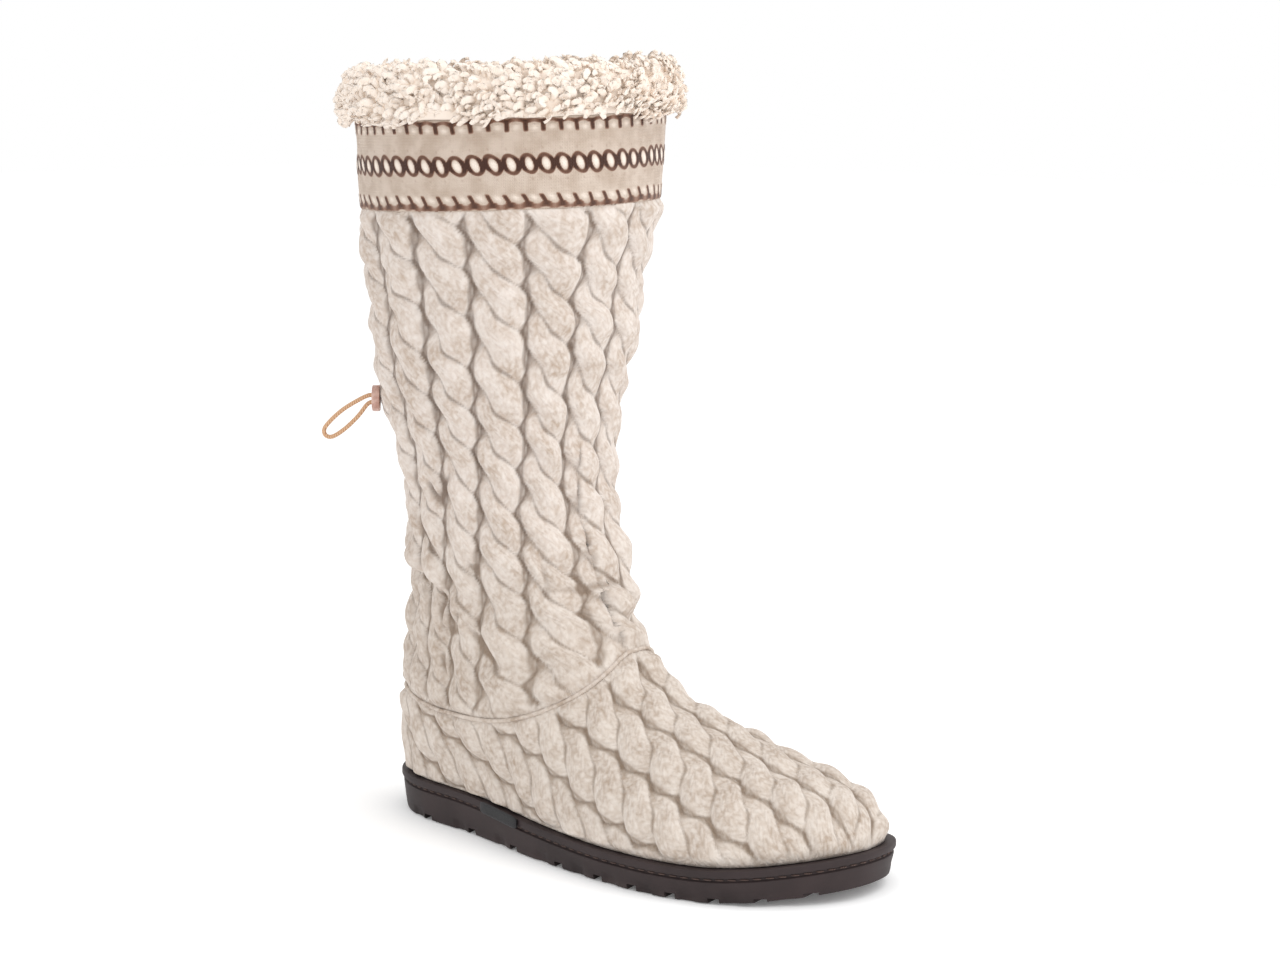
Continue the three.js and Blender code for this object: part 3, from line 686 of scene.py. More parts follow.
def soft_cables(across, along):
    """The same, averaged over a small patch, so that no crease is thinner than the panel's own points."""
    steps = [(i * CREASE_SOFT, j * CREASE_SOFT) for i in (-1, 0, 1) for j in (-1, 0, 1)]
    height, place, crease_shade = zip(*(columns_of_cable(across + i, along + j) for i, j in steps))
    return np.mean(height, 0), place[len(steps) // 2], np.mean(crease_shade, 0)


print("heights across one cable:", soft_cables(np.linspace(0, 1, 7), np.zeros(7))[0].round(2))

# %% The colour and stitches of the cable knit
# light, base, tan and crease shade; low down, on the foot, the wool is darker and browner, which is painted
# shade, and its painted crease shade is fainter
HIGH_WOOL = [paint(code) for code in ("#e7e0da", "#d1c4ba", "#b3a090", "#655142")]
LOW_WOOL = [paint(code) for code in ("#e0d8d0", "#c6b9ad", "#a69484", "#7f6b58")]
HIGH_WOOL_FROM = 170 * MM
LOW_WOOL_TO = 70 * MM
STITCHES_A_STRAND = 1.5
STITCHES_A_MILLIMETRE = 0.26


def knit_tree(tree):
    yarn = use_group(tree, YARN, {"Grain": 360.0})
    # painted shade: the wool is darker and browner low down, on the foot
    low = ranged(tree, height_on(tree), HIGH_WOOL_FROM, LOW_WOOL_TO)
    light, base, tan, shade_color = (blended(tree, low, high, deep) for high, deep in zip(HIGH_WOOL, LOW_WOOL))
    strand = read(tree, "strand")
    inputs = {
        "Across": calc(tree, "MULTIPLY", strand, STITCHES_A_STRAND),
        "Along": calc(tree, "MULTIPLY", read(tree, "along"), STITCHES_A_MILLIMETRE),
        "Slant": 1.3,
    }
    stitch = use_group(tree, STITCHES, inputs).outputs["Height"]
    # painted highlight on the raised edge stitches along each strand
    rim = ranged(tree, calc(tree, "ABSOLUTE", strand), 0.4, 0.9)
    # painted shade in the creases, grooves and fold valleys
    crease_shade = ranged(tree, read(tree, "crease_shade"), 0.2, 1.0)
    color = blended(tree, yarn.outputs["Mottle"], tan, base)
    # each layer of colour, with how much of it shows where it is strongest
    for layer, most, tint in (
        (yarn.outputs["Speck"], 0.45, light),
        # painted light on the stitches' raised legs
        (stitch, 0.3, light),
        (rim, 0.25, light),
        (crease_shade, 0.85, shade_color),
    ):
        color = blended(tree, calc(tree, "MULTIPLY", layer, most), color, tint)
    return color, calc(tree, "MULTIPLY_ADD", yarn.outputs["Fuzz"], 0.6, stitch)


CABLE_KNIT = finish_material("cable_knit", knit_tree, 0.95, sheen=0.15, bump=0.5, depth=0.6)


# %% The fleece lining's finish
def lining_tree(tree):
    yarn = use_group(tree, YARN, {"Grain": 300.0})
    color = blended(tree, yarn.outputs["Mottle"], paint("#dcc4a8"), paint("#f2e7da"))
    return color, calc(tree, "ADD", yarn.outputs["Speck"], yarn.outputs["Fuzz"])


FLEECE_LINING = finish_material("fleece_lining", lining_tree, 1.0, sheen=0.2, bump=0.8, depth=1.2)

# %% [markdown]
# ## The shaft
# The shaft is a knitted tube of fifteen cables. Its panel runs up the outside with fine rows, over the top
# edge, and down the inside with coarser ones, where only the lining is seen. At the ankle the cables sink
# into the seam. The wool slouches, so soft folds are laid across it, each from one heading and level to
# another. Cloth simulation would make folds too, but not where the real boot has them.

# %% Folds placed one by one
# heading and level where a fold starts, then where it ends, its half width, and its depth (up is positive)
FOLDS = [
    (-141, 127, -93, 118, 4.5, 2.2),
    (-96, 118, -50, 87, 3.5, 2.8),
    (-72, 100, -50, 80, 2.2, -3.0),
    (-139, 118, -112, 113, 2.6, -2.4),
    (-94, 109, -92, 94, 2.0, -2.4),
    (-75, 104, -79, 93, 2.0, -2.4),
    (-91, 93, -80, 91, 1.8, -1.8),
    (-122, 108, -124, 92, 2.2, -2.0),
    (-93, 83, -88, 71, 2.0, -2.2),
    (-70, 124, -61, 121, 2.0, -2.4),
    (-115, 144, -93, 126, 2.6, -2.0),
    (-98, 161, -89, 150, 2.0, -2.4),
    (-81, 166, -90, 150, 1.8, -2.0),
    (-31, 127, -28, 114, 1.8, -1.6),
    (-22, 104, 20, 104, 6.0, 2.2),
    (-30, 113, 12, 116, 3.0, -1.8),
    (80, 96, 118, 104, 5.0, 1.6),
    (96, 110, 140, 106, 3.0, -1.8),
    (150, 84, 200, 97, 6.0, 1.6),
]
print("folds:", len(FOLDS))


# the form is about this far out where the folds are, so a radian of heading is this long
FORM_ARC = 50.0
# valleys are pressed in this much deeper than FOLDS says, take painted shade this strong, and take it fully
# at this depth
FOLD_PRESS = 1.6
FOLD_SHADE = 0.75
FOLD_SHADE_DEPTH = 3.6


def fold_height(heading, level):
    """Height of all folds at these places."""
    total = np.zeros(np.broadcast(heading, level).shape)
    for start, low, end, high, half, depth in FOLDS:
        a = np.array([math.radians(start) * FORM_ARC, low])
        run = np.array([math.radians(end) * FORM_ARC, high]) - a
        middle = math.radians((start + end) / 2)
        turned = (heading - middle + math.pi) % TURN - math.pi
        x = (turned + middle) * FORM_ARC - a[0]
        y = level - a[1]
        t = np.clip((x * run[0] + y * run[1]) / (run @ run), 0, 1)
        away = np.hypot(x - t * run[0], y - t * run[1])
        taper = np.sin(math.pi * np.clip(t, 0.06, 0.94)) ** 0.5
        total += depth * taper * np.exp(-((away / half) ** 2))
    return np.where(total < 0, FOLD_PRESS * total, total)


# %% The shaft's panel
SHAFT_COLUMNS = 15
COLUMN_PHASE = math.radians(-14.5)
SAMPLES = 24
SHAFT_ROWS = 232
SHAFT_INSIDE = 22
SHAFT_RELIEF = 5.4
SHAFT_SINK = 1.0
# the relief comes in over this much above the seam and goes under the band; no valley is deeper than this
SEAM_FADE = 4.5
BAND_FADE = 6
UNDER_BAND = 0.2
DEEPEST = 1.9
# the button's place; the knit is gathered under it
LOOP_HEADING = math.radians(223)
LOOP_LEVEL = 194
GATHER = 3.6
GATHER_REACH = 8.5
# the lowest rows, up to this level, are closer together and take this share of them
ANKLE_LEVEL = 104
ANKLE_ROWS = 0.235
# height, size and seed of each layer of unevenness: cables sideways, cables lengthways and the surface
CABLE_WANDER = [(0.05, 30, 3), (0.035, 12, 4)]
CABLE_SLIP = [(0.14, 40, 5)]
SHAFT_UNEVEN = [(0.6, 14, 11), (0.35, 6, 12)]


def shaft_levels(bottom):
    t = np.linspace(0, 1, SHAFT_ROWS)[:, None]
    low = mix(bottom, ANKLE_LEVEL, t / ANKLE_ROWS)
    high = mix(ANKLE_LEVEL, SHAFT_TOP, (t - ANKLE_ROWS) / (1 - ANKLE_ROWS))
    return np.where(t < ANKLE_ROWS, low, high)


def under_button(heading, level):
    """The mound of knit that the button draws together."""
    near = np.hypot((heading - LOOP_HEADING) * FORM_ARC, level - LOOP_LEVEL)
    return GATHER * np.exp(-((near / GATHER_REACH) ** 4))


def shaft_piece():
    across = np.arange(SHAFT_COLUMNS * SAMPLES) / SAMPLES
    heading = COLUMN_PHASE + TURN * across / SHAFT_COLUMNS
    bottom = seam_level(heading) + SEAM_GAP
    level = shaft_levels(bottom)
    points = on_form(heading, level).reshape(*level.shape, 3)
    along = (level - SHAFT_TOP) / CABLE_PITCH + lumps(points, CABLE_SLIP)
    height, strand, crease_shade = soft_cables(across + lumps(points, CABLE_WANDER), along)
    edge = ease((level - bottom) / SEAM_FADE) * ease((SHAFT_TOP - level) / BAND_FADE + UNDER_BAND)
    fold = fold_height(heading, level)
    relief = edge * (SHAFT_RELIEF * height - SHAFT_SINK + fold + lumps(points, SHAFT_UNEVEN))
    relief = np.maximum(np.maximum(relief, -DEEPEST), under_button(heading, level))
    # the folds' valleys take painted shade as well
    crease_shade = np.clip(crease_shade + FOLD_SHADE * ease(-fold / FOLD_SHADE_DEPTH), 0, 1)
    inner_level = mix(bottom, SHAFT_TOP, np.linspace(1, 0, SHAFT_INSIDE)[:, None])
    inner = sunk(on_form(heading, inner_level), WALL).reshape(*inner_level.shape, 3)
    rings = leaned(np.concatenate([raised(points, relief), inner]))
    rings = closed(np.concatenate([rings, rings[:1]]))
    fields = {"strand": strand, "along": along * CABLE_PITCH, "crease_shade": crease_shade * edge}
    return panel("shaft_knit", rings, outside_only(fields, SHAFT_INSIDE + 1))


def line_inside(piece, outer_share):
    """Gives the faces past this share of the panel's rows the lining's finish."""
    mesh = piece.data
    uv = np.zeros(len(mesh.loops) * 2)
    mesh.uv_layers.active.data.foreach_get("uv", uv)
    rows = uv.reshape(-1, 4, 2)[:, :, 1].mean(1)
    mesh.materials.append(FLEECE_LINING)
    mesh.polygons.foreach_set("material_index", (rows > outer_share).astype(np.int32))


shaft = dress(shaft_piece(), CABLE_KNIT, "cable_knit", "shaft")
line_inside(shaft, (SHAFT_ROWS - 0.5) / (SHAFT_ROWS + SHAFT_INSIDE))

# %% [markdown]
# ## The foot
# Over the foot the cables lie round an axis that falls towards the toe, so their valleys run down the
# sides to the sole and meet it at a slant. The lobes look like round scales that overlap. The panel's rows
# run from the sole up to the seam, because a panel that followed the cables would be ragged at both.

# %% The foot's panel
FOOT_AROUND = 520
FOOT_ROWS = 88
FOOT_INSIDE = 14
FOOT_RELIEF = 3.6
FOOT_SINK = 0.7
FOOT_COLUMNS = 14
FOOT_MIDDLE = np.array([58.0, -5.0])
FOOT_AXIS = np.array([64.0, 45.0])
FOOT_FALL = math.radians(20)
FOOT_PHASE = math.radians(5)
FOOT_WANDER = [(0.03, 26, 8)]
FOOT_SLIP = [(0.1, 40, 9)]
FOOT_UNEVEN = [(0.5, 12, 21)]
# share of the way up over which the relief comes in, and points measured along each line up the foot
EDGE_FADE = 0.05
LINE_STEPS = 60


def foot_cable(points):
    """Cable height, strand place and painted crease shade for points of the foot."""
    x, z = points[..., 0] - FOOT_AXIS[0], points[..., 2] - FOOT_AXIS[1]
    along = x * math.cos(FOOT_FALL) - z * math.sin(FOOT_FALL)
    up = x * math.sin(FOOT_FALL) + z * math.cos(FOOT_FALL)
    angle = np.arctan2(-points[..., 1], up) - FOOT_PHASE
    across = FOOT_COLUMNS * angle / TURN + lumps(points, FOOT_WANDER)
    run = -along / CABLE_PITCH + lumps(points, FOOT_SLIP)
    return *soft_cables(across, run), along


def foot_edge(heading):
    """The lowest ring of the foot. The sole's top rises along it, so its level is found in a few rounds."""
    edge = on_form(heading, SOLE_THICK_HEEL, *FOOT_MIDDLE)
    for _ in range(8):
        edge = on_form(heading, sole_top(sole_share(edge[:, 0])) + CLEARANCE, *FOOT_MIDDLE)
    return edge


def foot_headings(count):
    """Evenly spaced along the foot's edge."""
    points, normal = outline_points(count)
    edge = points + normal * EDGE_INSET - FOOT_MIDDLE
    return np.arctan2(edge[:, 1], edge[:, 0])


def foot_lines(heading, shares):
    """Points up the foot at these shares of the way from the sole to the seam."""
    low, high = foot_edge(heading)[:, 2], seam_level(heading)
    t = np.linspace(0, 1, LINE_STEPS)[:, None]
    centre = mix(FOOT_MIDDLE, np.array([SHAFT_SET, 0.0]), t)
    points = on_form(heading, mix(low, high, t), centre[:, :1], centre[:, 1:]).reshape(LINE_STEPS, -1, 3)
    steps = np.linalg.norm(np.diff(points, axis=0), axis=2)
    length = np.concatenate([np.zeros((1, len(heading))), np.cumsum(steps, 0)])
    lines = np.zeros((len(shares), len(heading), 3))
    for j in range(len(heading)):
        for k in range(3):
            lines[:, j, k] = np.interp(shares * length[-1, j], length[:, j], points[:, j, k])
    return lines


def foot_piece():
    heading = foot_headings(FOOT_AROUND)
    t = np.linspace(0, 1, FOOT_ROWS)
    points = foot_lines(heading, t)
    height, strand, crease_shade, along = foot_cable(points)
    drop = seam_level(heading) - points[..., 2]
    fade = ease(t / EDGE_FADE)[:, None] * ease(drop / SEAM_FADE)
    outer = raised(points, fade * (FOOT_RELIEF * height - FOOT_SINK + lumps(points, FOOT_UNEVEN)))
    shares = np.linspace(1, 0, FOOT_INSIDE) ** 1.4
    inner = sunk(foot_lines(heading, shares).reshape(-1, 3), WALL).reshape(FOOT_INSIDE, -1, 3)
    rings = np.concatenate([outer, inner, outer[:1]])
    fields = {"strand": strand, "along": along, "crease_shade": crease_shade * fade}
    return panel("foot_knit", closed(rings), outside_only(fields, FOOT_INSIDE + 1))


foot = dress(foot_piece(), CABLE_KNIT, "cable_knit", "foot_upper")
line_inside(foot, (FOOT_ROWS - 0.5) / (FOOT_ROWS + FOOT_INSIDE))

# %% [markdown]
# ## The seam at the ankle
# Foot and shaft are sewn together, and the knit is drawn down to the seam from both sides. A thin rolled
# edge lies in that hollow. It is a panel wrapped round a line that follows the seam. A curve with a bevel
# would do as well, but a panel takes the knit's finish with its stitches.


# %% The rolled edge along the seam
WELT_RADIUS = 0.95
WELT_RAISED = 0.35
WELT_UNEVEN = [(0.3, 9, 71)]


def welt_piece():
    count, sides = 300, 8
    heading = TURN * np.arange(count) / count
    seam = on_form(heading, seam_level(heading))
    normal = outward(seam)
    along = np.roll(seam, -1, 0) - np.roll(seam, 1, 0)
    along /= np.linalg.norm(along, axis=1)[:, None]
    upward = np.cross(normal, along)
    middle = seam + normal * (WELT_RAISED + lumps(seam, WELT_UNEVEN))[:, None]
    rings = []
    for turn in TURN * np.arange(sides + 1) / sides:
        rings.append(middle + WELT_RADIUS * (math.cos(turn) * normal + math.sin(turn) * upward))
    rings = np.array(rings)
    run = np.cumsum(np.linalg.norm(seam - np.roll(seam, 1, 0), axis=1))
    fields = {
        "strand": closed(np.zeros((sides + 1, count))),
        "along": closed(np.tile(run, (sides + 1, 1))),
        "crease_shade": closed(np.zeros((sides + 1, count))),
    }
    return panel("ankle_welt", closed(leaned(rings)), fields)


dress(welt_piece(), CABLE_KNIT, "cable_knit")

# %% [markdown]
# ## The patterned band
# Above the cables sits a flat band of plain knit with three rows of a traditional motif: a brown line with
# leaning teeth, a chain of ovals, and another line whose teeth hang down. The motif repeats fifty-six times
# round the leg. A knitter would chart it in squares; here it is drawn by its own sizes on the panel's
# points, so that brown yarn stands out a little as well, and a stitch bump lies over it.

# %% Motif of the band
BAND_HEIGHT = 42
BAND_REPEATS = 56
BAND_SAMPLES = 14
BAND_ROWS = 84
BAND_WALL = 2.6
BAND_LAP = 1.2
REPEAT = 7.6
LINE_HALF = 1.0
TOOTH_HALF = 1.1
TOOTH_HEIGHT = 5.4
# half length and half height of an oval's light centre and of its brown ring
OVAL_INSIDE = (1.8, 2.8)
OVAL_OUTSIDE = (4.1, 4.8)
# levels over the band's lower edge: both lines, the ovals' middle, and where the teeth's rows end
LOW_LINE = 1.1
TOP_LINE = 36.4
OVALS = 18.4
LOW_ROW = 9
TOP_ROW = 27.5
# how full the brown is in both rows of teeth, and how far the two yarns stand out
LOW_BROWN = 0.78
TOP_BROWN = 0.8
BROWN_RAISED = 0.35
LIGHT_RAISED = 0.5
# height, size and seed of the unevenness: motifs sideways, motifs up and down, and the surface
MOTIF_LEAN = [(0.06, 50, 31), (0.04, 9, 34)]
MOTIF_WAVE = [(0.35, 20, 32), (0.2, 5, 35)]
BAND_UNEVEN = [(0.3, 16, 33)]
print("one repeat is", REPEAT, "mm, and all of them", round(BAND_REPEATS * REPEAT), "mm")


def band_out(t):
    return 1 + 1.8 * t + 0.7 * np.sin(math.pi * t)


def over_top(turn, out, up):
    """A point above the shaft: out from the shaft's own edge, up from its top."""
    x = SHAFT_SET + (SHAFT_RADIUS + out) * np.cos(turn)
    y = (SHAFT_RADIUS + out) * np.sin(turn)
    return leaned(np.stack(np.broadcast_arrays(x, y, SHAFT_TOP + up), -1))


def stroke(away, half):
    """1 on a drawn line, soft at its edges."""
    return 1 - ease((np.abs(away) - half * 0.55) / (half * 0.8))


def teeth(place, height, lean):
    """A line with leaning teeth on it, and a light stitch between two teeth; lean is repeats a millimetre."""
    wave = np.cos(TURN * place)
    line = stroke(height - 0.35 * wave, LINE_HALF) * (0.8 + 0.2 * wave)
    side = ((place + lean * height + 0.5) % 1 - 0.5) * REPEAT
    tooth = stroke(side, TOOTH_HALF) * ease((TOOTH_HEIGHT - height) / 1.6) * ease((height + 1) / 0.8)
    between = (side / REPEAT + 1) % 1 * REPEAT - REPEAT / 2
    light = 0.8 * np.exp(-((between / 1.6) ** 2) - ((height - 2.8) / 1.3) ** 2)
    return np.maximum(line, tooth), light


def chain(place, height):
    """Leaning ovals with light centres and dark waists between them, and a faint tick over each."""
    side = ((place + 0.04 * height + 0.5) % 1 - 0.5) * REPEAT
    within = np.hypot(side / OVAL_INSIDE[0], height / OVAL_INSIDE[1])
    beyond = np.hypot(side / OVAL_OUTSIDE[0], height / OVAL_OUTSIDE[1])
    ring = ease((within - 0.85) / 0.4) * (1 - ease((beyond - 0.88) / 0.2))
    ring = ring * (1 - 0.3 * ease((np.abs(height) - 1.5) / 2))
    tick = 0.3 * np.exp(-((side / 0.9) ** 2) - ((np.abs(height) - 6.4) / 1.1) ** 2)
    return np.maximum(ring, tick), np.exp(-((within / 0.85) ** 4))


def motif(place, height):
    """Brown and light yarn over the band; height is from its lower edge."""
    low_brown, low_light = teeth(place, height - LOW_LINE, 0.075)
    top_brown, top_light = teeth(place + 0.3, TOP_LINE - height, -0.02)
    brown, light = chain(place, height - OVALS)
    low, top = height < LOW_ROW, height > TOP_ROW
    brown = np.where(low, LOW_BROWN * low_brown, np.where(top, TOP_BROWN * top_brown, brown))
    light = np.where(low, low_light, np.where(top, top_light, light))
    return np.clip(brown, 0, 1), np.clip(light, 0, 1)


# %% The band's panel and finish
BAND_BROWN = paint("#3d241b")
BAND_TAN = paint("#8a6654")
BAND_CREAM = paint("#eee1d5")
BAND_BASE = paint("#b5a292")
BAND_LIGHT = paint("#cbbbad")
STITCHES_A_REPEAT = 5.0
BAND_COURSES = 34.0


def band_tree(tree):
    yarn = use_group(tree, YARN, {"Grain": 500.0})
    where = add(tree, "ShaderNodeSeparateXYZ", {0: place_on(tree, "UV")})
    across = calc(tree, "MULTIPLY", where.outputs[0], BAND_REPEATS * STITCHES_A_REPEAT)
    along = calc(tree, "MULTIPLY", where.outputs[1], BAND_COURSES)
    stitch = use_group(tree, STITCHES, {"Across": across, "Along": along, "Slant": 0.9}).outputs["Height"]
    color = blended(tree, yarn.outputs["Mottle"], BAND_BASE, BAND_LIGHT)
    # painted light on the stitches' raised legs
    color = blended(tree, calc(tree, "MULTIPLY", stitch, 0.25), color, BAND_LIGHT)
    color = blended(tree, read(tree, "light"), color, BAND_CREAM)
    brown = read(tree, "brown")
    color = blended(tree, ranged(tree, brown, 0.1, 0.6), color, BAND_TAN)
    deep = calc(tree, "MULTIPLY", ranged(tree, brown, 0.4, 0.9), 0.95)
    color = blended(tree, deep, color, BAND_BROWN)
    return color, calc(tree, "MULTIPLY_ADD", yarn.outputs["Fuzz"], 0.5, stitch)


BAND_KNIT = finish_material("band_knit", band_tree, 0.95, sheen=0.15, bump=0.5, depth=0.5)


def band_piece():
    count = BAND_REPEATS * BAND_SAMPLES
    turn = TURN * np.arange(count) / count
    t = np.linspace(0, 1, BAND_ROWS)[:, None]
    height = t * BAND_HEIGHT
    place = np.broadcast_to(np.arange(count) / BAND_SAMPLES, (BAND_ROWS, count))
    flat = over_top(turn, band_out(t), CLEARANCE + height)
    brown, light = motif(place + lumps(flat, MOTIF_LEAN), height + lumps(flat, MOTIF_WAVE))
    round_over = -0.4 * (1 - ease(t / 0.02)) - 0.9 * (1 - ease((1 - t) / 0.03))
    relief = BROWN_RAISED * brown + LIGHT_RAISED * light + lumps(flat, BAND_UNEVEN) + round_over
    # the lower edge hangs a little over the cables
    lap = BAND_LAP * (1 - ease(t / 0.06))
    outer = over_top(turn, band_out(t) + relief, CLEARANCE + height - lap)
    inner_t = np.array([1.0, 0.5, 0.0])[:, None]
    inner = over_top(turn, band_out(inner_t) - BAND_WALL, CLEARANCE + inner_t * BAND_HEIGHT)
    rings = np.concatenate([outer, inner, outer[:1]])
    return panel("band_of_knit", closed(rings), outside_only({"brown": brown, "light": light}, 4))


dress(band_piece(), BAND_KNIT, "band_knit", "patterned_band")

# %% [markdown]
# ## The fleece collar
# The collar is a roll of curly fleece. A roll with soft lumps carries the shape, and more than three
# thousand locks cover it. One lock is a short tapered curl; the copies lie in clumps, and in each clump they
# lean the same way, which is what makes fleece look combed by hand and not like grass. Particle hair would
# give finer fibres, but it is no mesh, and a lock of real geometry can be exported with the boot.

# %% The roll
COLLAR_RISE = 18
COLLAR_LAP = 5
ROLL_IN = 5
ROLL_OUT = 6.5
ROLL_AROUND = 240
ROLL_ROWS = 44
ROLL_LUMPS = [(1.2, 15, 41), (0.7, 7, 42)]
# the roll stays this far inside its solid, so that the locks end where the solid does
ROLL_INSET = 1.8


def collar_section():
    """The roll's section as a closed line in even steps: out from the shaft's edge, up from the band."""
    face = band_out(1.0) + CLEARANCE
    inner = band_out(1.0) - BAND_WALL - ROLL_IN
    outer = face + ROLL_OUT
    line = np.array(
        [
            (face, CLEARANCE),
            (face, 1.25 - COLLAR_LAP),
            (face + 2.5, -COLLAR_LAP),
            (outer - 1.25, 2.5 - COLLAR_LAP),
            (outer, 2.7),
            (outer - 1.25, 10.8),
            (outer - 5, 16.6),
            (mix(inner, outer, 0.4), COLLAR_RISE),
            (inner + 2.5, 14.4),
            (inner, 7.2),
            (inner + 1.25, CLEARANCE),
            (face, CLEARANCE),
        ]
    )
    length = np.concatenate([[0], np.cumsum(np.hypot(*np.diff(line, axis=0).T))])
    even = np.linspace(0, length[-1], ROLL_ROWS)
    return np.stack([np.interp(even, length, line[:, k]) for k in (0, 1)], 1)


def roll_points():
    turn = TURN * np.arange(ROLL_AROUND) / ROLL_AROUND
    section = collar_section()
    # no lumps where the roll lies on the band
    row = np.arange(ROLL_ROWS)
    soft = ease((row - 3) / 3) * ease((ROLL_ROWS - 5 - row) / 4)
    away = section - section.mean(0)
    away /= np.linalg.norm(away, axis=1)[:, None]
    flat = over_top(turn, section[:, :1], CLEARANCE + BAND_HEIGHT + section[:, 1:])
    lump = (lumps(flat, ROLL_LUMPS) - ROLL_INSET) * soft[:, None]
    out = section[:, :1] + away[:, :1] * lump
    up = section[:, 1:] + away[:, 1:] * lump
    return over_top(turn, out, CLEARANCE + BAND_HEIGHT + up)


roll = roll_points()
print("roll", round(float(roll[..., 2].max()), 1), "mm high at its top")


# %% Fleece finish
def fleece_tree(tree):
    yarn = use_group(tree, YARN, {"Grain": 350.0})
    tip = read(tree, "tip")
    color = blended(tree, yarn.outputs["Mottle"], paint("#ebddd0"), paint("#f1e6dc"))
    # painted shade near each lock's root, where the locks shade each other
    color = blended(tree, ranged(tree, tip, 0.0, 0.5), paint("#ebdac9"), color)
    # painted light towards the tips
    color = blended(tree, calc(tree, "MULTIPLY", tip, 0.5), color, paint("#f6ebe0"))
    color = blended(tree, calc(tree, "MULTIPLY", read(tree, "tone"), 0.3), color, paint("#ecdbca"))
    return color, yarn.outputs["Fuzz"]


FLEECE = finish_material("fleece", fleece_tree, 1.0, sheen=0.25, bump=0.2, depth=0.4)
# the roll is coloured like a lock this far up from its root, so it takes part of the locks' painted root
# shade
ROLL_TIP = {"tip": np.full((ROLL_ROWS, ROLL_AROUND + 1), 0.35)}
dress(panel("collar_roll", closed(roll), ROLL_TIP), FLEECE, "fleece", "fleece_collar")


# %% One lock, and its copies over the roll
LOCKS = 3400
CLUMPS = 95
LOCK_SINK = 1.9
LOCK_TURN = 2.5
LOCK_CURL = 2.6
LOCK_RISE = 4.7
LOCK_BEND = 0.72
LOCK_GIRTH = 1.8
LOCK_FLAT = 0.2
# how far a lock leans with its clump, strays on its own and stands up, and its smallest and largest size
LOCK_LEAN = 0.9
LOCK_STRAY = 0.25
LOCK_UP = 0.1
LOCK_SIZES = (0.7, 1.15)
# rows at both ends of the roll that have no locks
BARE_ROWS = 5


def lock_template():
    """A short thick curl that rises from the fleece and bends over."""
    rows, sides = 7, 5
    t = np.linspace(0, 1, rows)[:, None]
    swirl = LOCK_TURN * t
    rise = LOCK_RISE * np.sin(LOCK_BEND * math.pi * t)
    centre = np.stack([LOCK_CURL * np.sin(swirl), LOCK_CURL * (1 - np.cos(swirl)), rise], -1)
    girth = LOCK_GIRTH * np.sqrt(np.maximum(0, 1 - (1.7 * t - 0.7) ** 2 * 0.9))
    girth[-1] = 0
    turn = TURN * np.arange(sides) / sides
    ring = np.stack([girth * np.cos(turn), girth * np.sin(turn), LOCK_FLAT * girth * np.sin(turn)], -1)
    tip = np.broadcast_to(t, (rows, sides))
    return panel("lock", closed(centre + ring), {"tip": closed(tip)})


def lock_places():
    """A matrix a lock: on the roll, rising along its normal and leaning with its clump."""
    draw = np.random.default_rng(12)
    count, low, high = LOCKS, BARE_ROWS, ROLL_ROWS - BARE_ROWS
    row = draw.integers(low, high, count)
    column = draw.integers(0, ROLL_AROUND, count)
    seat = roll[row, column]
    around = roll[row, (column + 1) % ROLL_AROUND] - roll[row, column - 1]
    upward = roll[np.minimum(row + 1, ROLL_ROWS - 1), column] - roll[row - 1, column]
    around /= np.linalg.norm(around, axis=1)[:, None]
    normal = np.cross(around, upward)
    normal /= np.linalg.norm(normal, axis=1)[:, None]
    clumps = roll[draw.integers(low, high, CLUMPS), draw.integers(0, ROLL_AROUND, CLUMPS)]
    nearest = clumps[np.linalg.norm(seat[:, None] - clumps, axis=2).argmin(1)]
    lean = seat - nearest
    lean /= np.linalg.norm(lean, axis=1)[:, None] + 2.0
    stray = LOCK_STRAY * draw.normal(size=(count, 3))
    rise = normal + LOCK_LEAN * lean + stray + np.array([0, 0, LOCK_UP])
    rise /= np.linalg.norm(rise, axis=1)[:, None]
    side = np.cross(rise, around + 0.5 * draw.normal(size=(count, 3)))
    side /= np.linalg.norm(side, axis=1)[:, None]
    size = draw.uniform(*LOCK_SIZES, count)
    matrices = np.zeros((count, 4, 4))
    matrices[:, :3, 0] = side * size[:, None]
    matrices[:, :3, 1] = np.cross(rise, side) * size[:, None]
    matrices[:, :3, 2] = rise * size[:, None]
    matrices[:, :3, 3] = (seat - LOCK_SINK * normal) * MM
    return matrices, draw.uniform(0, 1, count) ** 2


lock = lock_template()
lock_tip = np.array([d.value for d in lock.data.attributes["tip"].data])
matrices, tones = lock_places()
locks = copies("collar_locks", lock, matrices, {"tone": tones}, {"tip": lock_tip})
dress(locks, FLEECE, "fleece")

# %% [markdown]
# ## The lining
# Inside, the boot is lined with short fleece from the collar down to the ankle. It is a thin sleeve that
# lies against the shaft's inner wall, uneven like all pile. Only its mouth is seen well, so a bump and low
# lumps do for the pile, and no locks are needed there.


# %% The lining's sleeve
LINING_FOOT = 66
LINING_FRONT = 30
LINING_GAP = 0.4
LINING_THICK = 1.3
# its back lies this far inside the band's inner wall, and a little more where it leaves the shaft
CROWN_GAP = 1.2
CROWN_PULL = 1.4
LINING_PILE = [(0.5, 7, 51), (0.3, 4, 52)]


